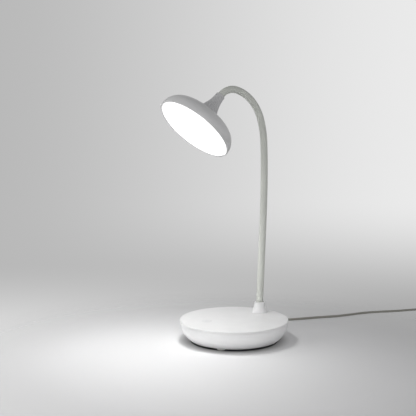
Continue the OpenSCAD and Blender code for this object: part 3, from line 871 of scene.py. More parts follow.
def block(
    name: str, size: Sequence[float], at: Sequence[float], edge: float = 0, steps: int = 3
) -> bpy.types.Object:
    """A box with rounded edges.

    Args:
        name: the piece's name.
        size: its three sides.
        at: its middle.
        edge: the radius of its edges.
        steps: how finely they are rounded.

    Returns:
        The box.
    """
    put_down()
    bpy.ops.mesh.primitive_cube_add(size=1, location=[v * MM for v in at])
    bpy.context.object.scale = [v * MM for v in size]
    obj = fix(bpy.context.object, name)
    if edge:
        modify(obj, "BEVEL", width=edge * MM, segments=steps, limit_method="NONE")
    return obj


def placed(obj: bpy.types.Object, place: Matrix) -> bpy.types.Object:
    """Moves a finished shape to its place and applies it to the mesh."""
    obj.matrix_world = place
    return fix(obj, obj.name)


def dressed(
    obj: bpy.types.Object, finish: Finish, angle: float = 35
) -> bpy.types.Object:
    """Smooths a piece and gives it its finish.

    Args:
        obj: the piece.
        finish: its finish.
        angle: edges sharper than this stay sharp, in degrees.

    Returns:
        The piece.
    """
    take(obj)
    if obj.type == "MESH":
        bpy.ops.object.shade_smooth_by_angle(angle=math.radians(angle))
    obj.data.materials.clear()
    obj.data.materials.append(finish.material())
    return obj


def ridden(obj: bpy.types.Object, body: Body, *nodes: str) -> bpy.types.Object:
    """Sets a piece on its body in place of its CAD nodes, and reports it.

    Args:
        obj: the piece.
        body: the body it rides on.
        nodes: the CAD nodes it replaces.

    Returns:
        The piece.
    """
    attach(obj, body.value)
    if nodes:
        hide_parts(*nodes)
    log.info("%s rides on %s for %s", obj.name, body.value, ", ".join(nodes) or "nothing")
    return obj


def curved(name: str, radius: float, rings: int) -> bpy.types.Object:
    """An empty 3-D curve with a round section.

    Args:
        name: the piece's name.
        radius: the section's radius, in metres.
        rings: how finely the section is rounded.

    Returns:
        The curve's object, in the scene.
    """
    curve = bpy.data.curves.new(name, "CURVE")
    curve.dimensions, curve.bevel_depth, curve.bevel_resolution = "3D", radius, rings
    curve.use_fill_caps = True
    obj = bpy.data.objects.new(name, curve)
    bpy.context.scene.collection.objects.link(obj)
    return obj


def moved(x: float = 0, y: float = 0, z: float = 0) -> Matrix:
    """A move by millimetres."""
    return Matrix.Translation((x * MM, y * MM, z * MM))


def spun(degrees: float, axis: str = "Z") -> Matrix:
    """A turn by degrees."""
    return Matrix.Rotation(math.radians(degrees), 4, axis)


# ---------------------------------------------------------------- the lamp's sub-assemblies


@dataclass
class Base:
    """The weighted base: lid, bowl, feet, touch mark and the neck's collar."""

    facets: int = 192
    radius: float = 74.0
    sole: float = 60.0
    sole_edge: float = 0.8
    foot: float = 2.5
    top: float = 29.5
    lid: float = 2.2
    lip: float = 0.12
    shoulder: float = 1.3
    corner: float = 0.35
    chamfer: float = 1.0
    hub: float = 0.4
    wall: float = 2.4
    overhang: float = 0.6
    neck_back: float = 55.0
    feet_ring: float = 52.0
    feet_turn: float = 21.5
    ledge: float = 56.6
    seat: float = 57.9
    ledge_low: float = 4.6
    ledge_top: float = 6.6
    locating: float = 4.0
    locating_wall: float = 1.6
    clearance: float = 0.3
    bush_hole: float = 5.2
    post: float = 3.3
    post_root: float = 0.5
    board_post: float = 2.6
    board_seat: float = 23.1
    board_spots: tuple[tuple[float, float], ...] = ((-27, -34), (-27, -6), (27, -34), (27, -6))
    cord_radius: float = 1.62
    cord_hole: float = 3.3
    exit_turn: float = 130.0
    exit_height: float = 12.0
    touch: tuple[float, float] = (-20.0, -33.0)
    touch_turn: float = 41.5

    def __post_init__(self) -> None:
        """Works out the arc of the bowl's side."""
        self.rim = self.top - self.lid
        self.mouth = self.radius - self.overhang
        drop, inset = self.rim - self.foot, self.mouth - self.sole
        self.side = (drop * drop + inset * inset) / (2 * inset)
        self.side_at = self.mouth - self.side

    def around(self, count: int = 4) -> list[tuple[float, float]]:
        """Where the feet and their screws are."""
        turns = [math.radians(self.feet_turn + 360 / count * k) for k in range(count)]
        return [(self.feet_ring * math.cos(a), self.feet_ring * math.sin(a)) for a in turns]

    def side_points(self, shrink: float, low: float, steps: int) -> Outline:
        """The bowl's side from a height up to its mouth, shrunk inwards.

        Args:
            shrink: how far inwards.
            low: the height where it starts.
            steps: how many lengths it has.

        Returns:
            The outline, upwards.
        """
        radius = self.side - shrink
        start = math.degrees(math.asin((low - self.rim) / radius))
        return arc(self.side_at, self.rim, radius, start, 0, steps)

    def build_lid(self) -> bpy.types.Object:
        """The lid: a flat disc with a soft raised lip, its locating ring and its posts.

        Returns:
            The finished piece.
        """
        bowl = self.side - self.wall
        inner = self.side_at + math.sqrt(bowl**2 - self.locating**2) - self.clearance
        deep, thin = self.rim - self.locating, inner - self.locating_wall
        flat, soft, sharp = self.top - self.lip, self.shoulder, self.corner
        outline = [(self.hub, flat), (30, flat), (66, self.top - 0.1)]
        outline += [(70.4, self.top - 0.05), (72.0, self.top)]
        outline += arc(self.radius - soft, self.top - soft, soft, 82, 0, 8)
        outline += arc(self.radius - sharp, self.rim + sharp, sharp, 0, -90, 4)
        outline += [(inner, self.rim), (inner, deep), (thin, deep)]
        outline += [(thin, self.rim), (self.hub, self.rim)]
        lid = turned("lid_with_lip", outline, self.facets, ring=False)
        neck = (0, self.neck_back)
        cut(lid, rod("bush_hole", self.bush_hole, self.rim - 5, self.top + 5, neck, 64))
        root = self.rim + self.post_root
        posts = [rod("post", self.post, self.ledge_low, root, at) for at in self.around()]
        for at in self.board_spots:
            posts.append(rod("post", self.board_post, self.board_seat, root, at))
        return dressed(join(lid, posts), WHITE, 30)

    def build_bowl(self) -> bpy.types.Object:
        """The bowl: a rounded side with a chamfered mouth, the ledge and the cord's hole.

        Returns:
            The finished piece.
        """
        inner = self.side_points(self.wall, self.ledge_top, 20)
        outer = self.side_points(0, self.foot, 36)
        lip = self.mouth - self.chamfer
        outline = [(self.seat, self.foot), (self.sole - self.sole_edge, self.foot)] + outer[1:-1]
        outline += [(self.mouth, self.rim - self.chamfer)]
        outline += [(lip, self.rim - self.corner), (lip, self.rim)]
        outline += [(inner[-1][0], self.rim)] + inner[::-1][1:]
        outline += [(self.ledge, self.ledge_top), (self.ledge, self.ledge_low)]
        outline += [(self.seat, self.ledge_low)]
        bowl = turned("rounded_bowl", outline, self.facets)
        hole = rod("cord_hole", self.cord_hole, 56, 90, segments=SMALL_ROUND)
        cut(bowl, placed(hole, self.exit_place()))
        return dressed(bowl, BOWL, 35)

    def exit_place(self) -> Matrix:
        """The place whose +Z runs out of the base along the cord's exit."""
        return spun(self.exit_turn) @ moved(z=self.exit_height) @ spun(90, "Y")

    def build_boot(self) -> bpy.types.Object:
        """The strain relief: a flange inside, a collar outside and ribs along its taper.

        Returns:
            The finished piece.
        """
        root, tip, start, end, ribs = 3.1, 2.3, 70.0, 83.4, 6
        outline = [(self.cord_radius, 61.3), (4.0, 61.3)] + arc(3.85, 62.45, 0.25, 0, 90, 2)
        outline += [(root, 62.7), (root, 69.3)]
        for k in range(ribs):
            a, b, c = (start + (end - start) * (k + share) / ribs for share in (0, 0.58, 1))
            wide = [root + (tip - root) * (t - start) / (end - start) for t in (a, b, c)]
            outline += [(wide[0] - 0.15, a), (wide[0], a + 0.25), (wide[1], b - 0.25)]
            outline += [(wide[1] - 0.15, b), (wide[1] - 0.6, b + 0.1), (wide[2] - 0.6, c - 0.1)]
        outline += [(tip, 83.5), (2.25, 83.85), (1.9, 84.05), (self.cord_radius, 84.05)]
        boot = turned("ribbed_strain_relief", outline, SMALL_ROUND)
        return dressed(placed(boot, self.exit_place()), CORD, 40)

    def build_collar(self) -> bpy.types.Object:
        """The flared collar round the neck's foot, with a rounded lip at its mouth.

        Returns:
            The finished piece.
        """
        mouth, height, foot, hollow = 7.2, 15.0, 11.25, 0.8
        chord = math.hypot(height, foot - mouth)
        flare = (chord * chord / 4 + hollow * hollow) / (2 * hollow)
        out = (flare - hollow) / chord
        middle = ((foot + mouth) / 2 + height * out, height / 2 + (foot - mouth) * out)
        outline, steps = [(foot - 0.3, self.top)], 16
        for k in range(steps + 1):
            z = 0.3 + (height - 2.1) * k / steps
            side = middle[0] - math.sqrt(flare**2 - (z - middle[1]) ** 2)
            outline.append((side, self.top + z))
        outline += arc(5.75, self.top + height - 1.75, 1.75, 8, 90, 10)[1:]
        outline += arc(5.7, self.top + height - 0.3, 0.3, 90, 180, 3)
        outline += [(5.4, self.top + 2.2), (7.2, self.top + 2.2), (7.2, self.top)]
        collar = turned("flared_collar", outline, 96)
        return dressed(placed(collar, moved(y=self.neck_back)), COLLAR, 35)

    def build_feet(self) -> bpy.types.Object:
        """Four soft feet, modelled once and copied.

        Returns:
            The finished piece.
        """
        outline = [(0.3, 2.48), (5.75, 2.48), (5.8, 2.3)] + arc(5.2, 0.6, 0.6, 0, -90, 5)
        outline += [(4.6, 0.0), (4.2, 0.25), (0.3, 0.25)]
        first = turned("foot_pads", outline, SMALL_ROUND, ring=False)
        copies = []
        for x, y in self.around():
            other = first.copy()
            other.data = first.data.copy()
            bpy.context.scene.collection.objects.link(other)
            copies.append(placed(other, moved(x, y)))
        bpy.data.objects.remove(first)
        return dressed(join(copies[0], copies[1:]), FOOT, 40)

    def build_mark(self) -> bpy.types.Object:
        """The touch switch's printed ring and standby sign on the lid.

        Returns:
            The finished piece.
        """
        low, ink, line = self.top - 0.11, 0.05, 0.5
        high = low + ink
        ring, sign = (
            turned(name, [(r, low), (r + line, low), (r + line, high), (r, high)], facets)
            for name, r, facets in (("touch_mark", 5.6, 64), ("sign", 2.2, SMALL_ROUND))
        )
        edit(sign)
        pick(sign, lambda v: v.co.y > 0.0016 and abs(v.co.x) < 0.0015)
        bpy.ops.mesh.delete(type="VERT")
        bpy.ops.mesh.select_all(action="SELECT")
        bpy.ops.mesh.select_non_manifold()
        bpy.ops.mesh.edge_face_add()
        put_down()
        bar = block("bar", (line, 2.4, ink), (0, 2.2, low + ink / 2))
        mark = join(ring, [sign, bar])
        place = moved(*self.touch) @ spun(self.touch_turn)
        return dressed(placed(mark, place), PRINT, 30)

    def build(self) -> None:
        """Builds every piece of the base that shows."""
        ridden(self.build_lid(), Body.BASE, "base_lid")
        ridden(self.build_bowl(), Body.BASE, "base_bowl")
        ridden(self.build_collar(), Body.BASE, "neck_collar")
        ridden(self.build_feet(), Body.BASE, "rubber_feet")
        ridden(self.build_boot(), Body.BASE, "cord_boot")
        ridden(self.build_mark(), Body.BASE)


@dataclass
class Neck:
    """The bent neck: a soft sleeve over a wound hose, with the lead inside.

    A joint is how far forwards of the neck's foot and above the table, and the heading there.
    """

    mouth: float = 44.5
    lean: float = -2.6
    lengths: tuple[float, ...] = (54, 56, 56, 54, 34, 32, 30, 28)
    turns: tuple[float, ...] = (0, 0, 2, 3, 15, 28, 29, 60)
    back: float = 55.0
    swing: float = -12.5
    skin: float = 4.8
    skin_wall: float = 1.0
    hose: float = 3.5
    wire: float = 0.9
    buried: float = 9.0
    end: float = 2.5
    around: int = 48
    grooves: tuple[float, ...] = (0.3, 3.1, 5.9)
    groove_edge: float = 0.25
    groove_width: float = 1.2
    pressed: float = 0.93
    bend_step: float = 1.6
    straight_step: float = 2.0
    joints: list[tuple[float, float, float]] = field(default_factory=list)

    def __post_init__(self) -> None:
        """Works out each joint's place, forwards and up, and the neck's heading there."""
        self.joints = [(0.0, self.mouth, self.lean)]
        for k in range(len(self.lengths)):
            self.joints.append(self.along(k, self.lengths[k]))

    def along(self, k: int, run: float) -> tuple[float, float, float]:
        """The point and heading so far along stretch k, in millimetres and degrees.

        Args:
            k: the stretch.
            run: how far along it.

        Returns:
            How far forwards and up, and the heading.
        """
        forward, up, heading = self.joints[k]
        a = math.radians(heading)
        if not self.turns[k]:
            side, ahead, turn = 0.0, run, 0.0
        else:
            turn = math.radians(self.turns[k]) * run / self.lengths[k]
            radius = self.lengths[k] / math.radians(self.turns[k])
            side, ahead = radius * (1 - math.cos(turn)), radius * math.sin(turn)
        return (
            forward + side * math.cos(a) + ahead * math.sin(a),
            up - side * math.sin(a) + ahead * math.cos(a),
            heading + math.degrees(turn),
        )

    def spot(self, forward: float, up: float) -> Vector:
        """A point of the neck's plane in the row frame, in metres."""
        a = math.radians(self.swing)
        return Vector((forward * math.sin(a), self.back - forward * math.cos(a), up)) * MM

    def way(self, heading: float) -> Vector:
        """The direction of a heading in the row frame."""
        a = math.radians(heading)
        return (self.spot(math.sin(a), math.cos(a)) - self.spot(0, 0)).normalized()

    def legs(self, k: int) -> list[tuple[int, float, float]]:
        """Stretches between the middles on each side of joint k, as (stretch, from, to).

        Args:
            k: the joint, counted from the collar.

        Returns:
            The stretches, upwards.
        """
        found = []
        if k > 0:
            found.append((k - 1, self.lengths[k - 1] / 2, self.lengths[k - 1]))
        if k < len(self.lengths):
            start = -self.buried if k == 0 else 0.0
            found.append((k, start, self.lengths[k] / 2))
        return found

    def build_skin(self, k: int) -> bpy.types.Object:
        """The sleeve from one stretch's middle to the next: rings spun round each bend.

        Args:
            k: the joint that this length bends at.

        Returns:
            The finished piece.
        """
        legs = self.legs(k)
        forward, up, heading = self.along(legs[0][0], legs[0][1])
        ring = {
            "vertices": self.around,
            "location": self.spot(forward, up),
            "rotation": (math.radians(heading), 0, math.radians(self.swing)),
        }
        put_down()
        bpy.ops.mesh.primitive_circle_add(radius=self.skin * MM, **ring)
        obj = fix(bpy.context.object, f"neck_skin_{k + 1}")
        edit(obj)
        bpy.ops.mesh.primitive_circle_add(radius=(self.skin - self.skin_wall) * MM, **ring)
        bpy.ops.mesh.select_all(action="SELECT")
        for stretch, start, end in legs:
            self.sweep(stretch, start, end, k == 0)
        if k == len(self.lengths):
            extrude(self.way(self.joints[k][2]) * self.end * MM)
        bpy.ops.mesh.bridge_edge_loops()
        pick(obj, lambda v: v.index < 2 * self.around)
        bpy.ops.mesh.bridge_edge_loops()
        outwards()
        return dressed(obj, NECK, 40)

    def sweep(self, k: int, start: float, end: float, grooved: bool) -> None:
        """Carries the selected rings along stretch k in edit mode.

        Args:
            k: the stretch.
            start, end: how far along it, in millimetres.
            grooved: presses fine rings in just above the collar.
        """
        way = self.way(self.joints[k][2])
        if self.turns[k]:
            forward, up, heading = self.joints[k]
            radius = self.lengths[k] / math.radians(self.turns[k])
            a, s = math.radians(heading), math.radians(self.swing)
            middle = self.spot(forward + radius * math.cos(a), up - radius * math.sin(a))
            turn = math.radians(self.turns[k]) * (end - start) / self.lengths[k]
            steps = max(4, round((end - start) / self.bend_step))
            bpy.ops.mesh.spin(
                steps=steps, angle=-turn, center=middle, axis=(math.cos(s), math.sin(s), 0)
            )
            return
        stops = [(start, 1.0)]
        if grooved:
            stops.append((-0.4, 1.0))
            for at in self.grooves:
                stops += [(at, 1.0), (at + self.groove_edge, self.pressed)]
                far = at + self.groove_width
                stops += [(far - self.groove_edge, 1.0), (far, 1 / self.pressed)]
        while stops[-1][0] < end - TINY:
            stops.append((min(end, stops[-1][0] + self.straight_step), 1.0))
        for (a, _), (b, share) in zip(stops, stops[1:]):
            extrude(way * (b - a) * MM)
            if share != 1.0:
                bpy.ops.transform.resize(value=(share, share, share))

    def build_core(
        self, name: str, points: list[tuple[Vector, float]], finish: Finish
    ) -> bpy.types.Object:
        """A round core along points, as a mesh.

        Args:
            name: the piece's name.
            points: the place and radius of each point.
            finish: its finish.

        Returns:
            The finished piece.
        """
        obj = curved(name, 1.0, 3)
        spline = obj.data.splines.new("POLY")
        spline.points.add(len(points) - 1)
        for point, (at, radius) in zip(spline.points, points):
            point.co, point.radius = (*at, 1), radius * MM
        take(obj)
        bpy.ops.object.convert(target="MESH")
        edit(obj)
        bpy.ops.mesh.remove_doubles(threshold=1e-6)
        outwards()
        return dressed(obj, finish, 60)

    def core_points(
        self, k: int, step: float, radii: Sequence[float]
    ) -> list[tuple[Vector, float]]:
        """Points along the legs at joint k, with radii taken in turn.

        Args:
            k: the joint.
            step: the distance between points, in millimetres.
            radii: the radii, in millimetres.

        Returns:
            The place and radius of each point.
        """
        points: list[tuple[Vector, float]] = []
        for stretch, start, end in self.legs(k):
            count = max(2, round((end - start) / step))
            for i in range(0 if not points else 1, count + 1):
                forward, up, _ = self.along(stretch, start + (end - start) * i / count)
                points.append((self.spot(forward, up), radii[len(points) % len(radii)]))
        return points

    def build(self) -> None:
        """Builds the three layers at each joint, in place of the CAD nodes."""
        last = len(self.lengths)
        ribs = [self.hose, self.hose - 0.12, self.hose - 0.3, self.hose - 0.12]
        cores = (
            ("neck_wound_hose", "neck_hose_", 0.55, ribs, WOUND, Slot.HOSE),
            ("neck_inner_lead", "neck_lead_", 2.5, [self.wire], LEAD, Slot.LEAD),
        )
        for k in range(last + 1):
            layers = [(self.build_skin(k), "neck_sleeve_")]
            for name, stem, step, radii, finish, slot in cores:
                points = self.core_points(k, step, radii)
                layers.append((self.build_core(f"{name}_{k + 1}", points, finish), stem))
            legs = self.legs(k)
            first = self.along(legs[0][0], legs[0][1]) if k else self.joints[0]
            final = self.along(legs[-1][0], legs[-1][2])
            for obj, stem in layers:
                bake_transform(obj)
                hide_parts(f"{stem}{min(k + 1, last)}")


@dataclass
class Head:
    """The head: shade, fluted bell, diffuser ring and diffuser, modelled along Z from its face.

    A dent is a share of the bell's radius, and the columns of a flute that it presses in.
    """

    neck: Neck
    facets: int = 160
    radius: float = 54.0
    depth: float = 29.0
    bell: float = 32.3
    band: float = 3.0
    shoulder: float = 19.5
    wall: float = 1.8
    rim: float = 0.45
    hole: float = 5.2
    post: float = 3.0
    posts_ring: float = 26.0
    posts_span: tuple[float, float] = (15.9, 24.5)
    mouth: float = 6.4
    foot: float = 16.0
    flare: float = 2.2
    lip: float = 0.7
    bell_wall: float = 1.6
    bell_lift: float = 0.1
    bore: float = 5.4
    flutes: int = 20
    runs: tuple[float, ...] = (
        1.2, 1.5, 2.1, 3.2, 5, 7.5, 10, 12.5, 15, 17.5, 20, 22.2, 24.4, 26.4, 28.2, 29.8, 31.2,
        32.3,
    )
    dents: tuple[tuple[float, tuple[int, ...]], ...] = (
        (0.925, (5,)), (0.94, (4, 6)), (0.968, (3, 7)), (0.99, (2, 8)),
    )
    lit: float = 1.4

    def __post_init__(self) -> None:
        """Works out the dome's arc."""
        a, b = self.radius - self.shoulder, self.depth - self.band
        self.dome = (a * a + b * b - self.shoulder**2) / (2 * (b - self.shoulder))
        self.dome_at = self.depth - self.dome
        self.split = math.degrees(math.atan2(self.band - self.dome_at, a))

    def place(self) -> Matrix:
        """The head's place in the row frame, from its face towards the neck.

        Returns:
            The place.
        """
        forward, up, heading = self.neck.joints[-1]
        end = moved(y=self.neck.back) @ spun(self.neck.swing) @ moved(0, -forward, up)
        return end @ spun(heading, "X") @ moved(z=self.depth + self.bell) @ spun(180, "X")

    def build_shade(self) -> bpy.types.Object:
        """The shade: a shell with a soft rim, a rounded shoulder and a shallow dome.

        Returns:
            The finished piece.
        """
        a = self.radius - self.shoulder
        hole = math.degrees(math.acos(self.hole / self.dome))
        outer = arc(self.radius - self.rim, self.rim, self.rim, -90, 0, 4)
        outer += arc(a, self.band, self.shoulder, 0, self.split, 24)
        outer += arc(0, self.dome_at, self.dome, self.split, hole, 26)[1:]
        inner = arc(0, self.dome_at, self.dome - self.wall, hole, self.split, 16)
        inner += arc(a, self.band, self.shoulder - self.wall, self.split, 0, 14)[1:]
        inner += [(self.radius - self.wall, 0.35), (self.radius - self.wall + 0.3, 0.0)]
        shade = turned("domed_shade", outer + inner, self.facets)
        posts = []
        for k in range(3):
            t = math.radians(90 + 120 * k)
            at = (self.posts_ring * math.cos(t), self.posts_ring * math.sin(t))
            posts.append(rod("post", self.post, *self.posts_span, at))
        return dressed(placed(join(shade, posts), self.place()), SHADE, 35)

    def bell_radius(self, run: float) -> float:
        """The bell's radius so far from its mouth."""
        return self.mouth + (self.foot - self.mouth) * (run / self.bell) ** self.flare

    def build_bell(self) -> bpy.types.Object:
        """The bell: a flared sleeve whose flutes are pressed in between its ribs.

        Returns:
            The finished piece.
        """
        top, lip, inside = self.depth + self.bell, self.lip, self.foot - 1.5
        outer = arc(self.mouth - lip, top - lip, lip, 90, 0, 6)
        outer += [(self.bell_radius(run), top - run) for run in self.runs]
        outer.append((self.foot, self.on_dome(self.foot) + self.bell_lift))
        inner = [(inside, self.on_dome(inside) + self.bell_lift)]
        for run in reversed(self.runs):
            inner.append((max(self.bore, self.bell_radius(run) - self.bell_wall), top - run))
        inner.append((self.bore, top - 0.3))
        per, rows = 10, len(outer)
        count = self.flutes * per
        bell = turned("fluted_bell", outer + inner, count)
        edit(bell)
        for share, offsets in self.dents:
            pick(
                bell,
                lambda v: v.index // count < rows
                and (v.index % count) % per in offsets
                and v.co.z < (top - 2.0) * MM,
            )
            bpy.ops.transform.resize(value=(share, share, 1), center_override=(0, 0, 0))
        put_down()
        return dressed(placed(bell, self.place()), BELL, 50)

    def on_dome(self, radius: float) -> float:
        """The height of the shade's back at a radius."""
        return self.dome_at + math.sqrt(self.dome**2 - radius**2)

    def build_ring(self) -> bpy.types.Object:
        """The thin ring that holds the diffuser, in plastic with a painted glow.

        Returns:
            The finished piece.
        """
        outline = [(50.9, 1.35), (50.9, 0.6), (51.1, 0.42)]
        outline += [(51.8, 0.42), (51.95, 0.6), (51.95, 1.35)]
        ring = placed(turned("diffuser_trim_ring", outline, self.facets), self.place())
        # The trim ring is no lamp: its emission is a painted glow that brightens its edge like the
        # diffuser beside it.
        return dressed(ring, self.opal("trim_plastic_with_painted_glow", 0.5), 40)

    def opal(self, name: str, strength: float) -> LitOpal:
        """The glowing plastic round the head's middle, of that name and strength: the lit
        diffuser, or the trim ring's painted glow.
        """
        centre = self.place() @ Vector((0, 0, self.lit * MM))
        return LitOpal(name, (0.95, 0.95, 0.93), centre=tuple(centre), strength=strength)

    def build_diffuser(self) -> bpy.types.Object:
        """The lit diffuser: a flat disc with a softened edge.

        Returns:
            The finished piece.
        """
        outline = [(0.4, 1.42), (51.3, 1.42), (51.9, 1.6)]
        outline += [(51.9, 3.2), (51.6, 3.38), (0.4, 3.38)]
        disc = placed(turned("lit_diffuser", outline, self.facets, ring=False), self.place())
        return dressed(disc, self.opal("lit_opal_diffuser", 1.2), 40)

    def build(self) -> None:
        """Builds every piece of the head that shows."""
        ridden(self.build_shade(), Body.HEAD, "head_shade")
        ridden(self.build_bell(), Body.HEAD, "head_bell")
        ridden(self.build_ring(), Body.HEAD, "diffuser_ring")
        ridden(self.build_diffuser(), Body.HEAD, "diffuser")


@dataclass
class Lead:
    """The cord: its way along the table, its stored coil with a tie, and its plug.

    A step is an offset from the start, with the share of its height that is left, if any.
    """

    radius: float = 1.6
    lowest: float = 1.65
    middle: tuple[float, float] = (130.976, 330.484)
    turn_in: float = 150.0
    turn_out: float = 60.0
    tie_turn: float = -60.0
    coil: float = 17.5
    pitch: float = 3.3
    columns: int = 6
    lift: float = 0.6
    lead_in: float = 12.0
    tail: float = 22.0
    plug: float = 4.0
    length: float = 1.48
    step_up: float = 0.25
    per_turn: int = 16
    strap: float = 0.55
    strap_width: float = 9.0
    grip: Point = (20, 15, 8)
    grip_lines: int = 4
    start: Point = (-54.024, 64.384, 12.0)
    steps: tuple[tuple[float, ...], ...] = (
        (-5, 6.1, 0.932), (-9.5, 12.1, 0.633), (-12.5, 18.6, 0.285), (-13, 25.6, 0.063),
        (-10.5, 32.6), (-5.5, 39.1), (1.5, 45.1), (10, 50.1), (19, 55.1), (27.5, 60.6),
        (35.5, 66.6), (42.5, 74.1), (50, 85.6), (59, 100.6), (67.5, 114.6), (76.5, 128.1),
        (84.5, 141.6), (91, 157.6), (97.5, 174.1), (105, 188.6), (114, 201.6), (123.5, 214.1),
        (132.5, 227.1), (140.8, 240.6), (147.6, 252.4),
    )

    def on_coil(self, turn: float, run: float) -> tuple[float, float]:
        """A point so far along the line that leaves the outer turn at an angle.

        Args:
            turn: the angle, in degrees.
            run: how far along the line.

        Returns:
            The point.
        """
        a, b = math.radians(turn), math.radians(turn - 90)
        outer = self.coil + (self.columns - 1) / 2 * self.pitch
        return (
            self.middle[0] + outer * math.cos(a) + run * math.cos(b),
            self.middle[1] + outer * math.sin(a) + run * math.sin(b),
        )

    def points(self) -> list[Point]:
        """The cord's whole line, from the strain relief to the plug.

        Returns:
            The points, in millimetres.
        """
        rows = [self.lift + (row + 0.5) * self.pitch for row in (0, 1)]
        drop = self.start[2] - self.lowest
        line = [self.start]
        for step in self.steps:
            height = self.lowest + (step[2] * drop if len(step) > 2 else 0)
            line.append((self.start[0] + step[0], self.start[1] + step[1], height))
        line.append((*self.on_coil(self.turn_in, -self.lead_in), rows[0]))
        wound = self.columns - 1
        inner, spread = self.coil - wound / 2 * self.pitch, wound * self.pitch
        total = 2 * wound + self.step_up
        steps = round(total * self.per_turn)
        for i in range(steps + 1):
            t = total * i / steps
            radius = inner + spread * max(wound - t, 0, t - wound - self.step_up) / wound
            share = min(1.0, max(0.0, (t - wound) / self.step_up))
            height = rows[0] + (rows[1] - rows[0]) * share * share * (3 - 2 * share)
            a = math.radians(self.turn_in - 360 * t)
            x, y = radius * math.cos(a), radius * math.sin(a)
            line.append((self.middle[0] + x, self.middle[1] + y, height))
        for run, height in ((9.6, rows[1]), (16.0, rows[1] - 0.8), (self.tail, self.plug)):
            line.append((*self.on_coil(self.turn_out, run), height))
        return line

    def build_cord(self) -> bpy.types.Object:
        """The cord as one open curve of a round section.

        Returns:
            The finished piece.
        """
        obj = curved("desk_cord", self.radius * MM, 4)
        obj.data.resolution_u = 5
        spline = obj.data.splines.new("BEZIER")
        line = self.points()
        spline.bezier_points.add(len(line) - 1)
        for point, at in zip(spline.bezier_points, line):
            point.co = Vector(at) * MM
            point.handle_left_type = point.handle_right_type = "AUTO"
        return dressed(obj, CORD)

    def build_tie(self) -> bpy.types.Object:
        """The strap round the coil: an open sleeve of tape with its tab laid over.

        Returns:
            The finished piece.
        """
        wide, high = self.columns * self.pitch, 2 * self.pitch
        size = (wide + 1.1, self.strap_width, high + 1.2)
        middle = (0, 0, high / 2 + self.lift)
        tie = block("coil_strap", size, middle, 1.4, 4)
        edit(tie)
        bpy.ops.mesh.select_all(action="DESELECT")
        mesh = bmesh.from_edit_mesh(tie.data)
        for face in mesh.faces:
            face.select_set(abs(face.normal.y) > 0.3)
        bmesh.update_edit_mesh(tie.data)
        bpy.ops.mesh.delete(type="FACE")
        put_down()
        modify(tie, "SOLIDIFY", thickness=self.strap * MM, offset=-1)
        tab = block("tab", (12, 8.2, 0.5), (1.5, 0, high + self.lift + 0.75), 0.2, 2)
        place = moved(*self.middle) @ spun(self.tie_turn) @ moved(self.coil)
        return dressed(placed(join(tie, [tab]), place), STRAP, 40)

    def plug_place(self) -> Matrix:
        """The place whose +X runs out of the cord's end into the plug."""
        at = self.on_coil(self.turn_out, self.tail)
        return moved(*at, self.plug) @ spun(self.turn_out - 90)

    def build_plug(self) -> bpy.types.Object:
        """The plug's moulded body, with finger grips, and its ribbed relief.

        Returns:
            The finished piece.
        """
        body = block("plug_grip", self.grip, (16, 0, 0), 1.6, 5)
        edge = self.grip[1] / 2 + 0.1
        for side in (-edge, edge):
            for k in range(self.grip_lines):
                cut(body, rod("groove", 0.45, -3, 3, (11 + 2.2 * k, side), 16))
        cut(body, block("socket", (4, 12.1, 4.6), (26, 0, 0)))
        bore = self.radius + 0.02
        outline = [(bore, 0.1), (2.0, 0.0)]
        for k in range(4):
            z, r = 0.2 + 1.4 * k, 2.15 + 0.25 * k
            outline += [(r, z), (r + 0.1, z + 0.8), (r - 0.3, z + 0.9), (r - 0.3, z + 1.3)]
        outline += [(2.9, 6.4), (bore, 6.4)]
        relief = placed(turned("relief", outline, 40), spun(90, "Y"))
        plug = placed(join(body, [relief]), self.plug_place())
        return dressed(plug, CORD, 35)

    def build(self) -> None:
        line = self.build_cord()
        ridden(line, Body.BASE, "cord", "cord_coil", "cord_tail")
        tie = ridden(self.build_tie(), Body.BASE, "cord_tie")
        plug = ridden(self.build_plug(), Body.BASE, "plug_body")


# ---------------------------------------------------------------- camera and studio


def grey(value: float, blue: float = 0.0) -> Colour:
    """A plain grey, a little bluer if asked."""
    return (value, value, value + blue)


@dataclass(frozen=True)
class SoftLight:
    """An area light that the camera doesn't see, in metres and watts."""

    name: str
    at: Sequence[float]
    aim: Sequence[float]
    size: float
    watts: float
    shape: LightShape = LightShape.SQUARE

    def build(self) -> bpy.types.Object:
        """Makes the light.

        Returns:
            The light's object, in the scene.
        """
        data = bpy.data.lights.new(self.name, "AREA")
        data.shape, data.size, data.energy = self.shape.value, self.size, self.watts
        light = bpy.data.objects.new(self.name, data)
        light.location = self.at
        way = Vector(self.aim) - Vector(self.at)
        light.rotation_euler = way.to_track_quat("-Z", "Y").to_euler()
        light.visible_camera = False
        bpy.context.scene.collection.objects.link(light)
        return light


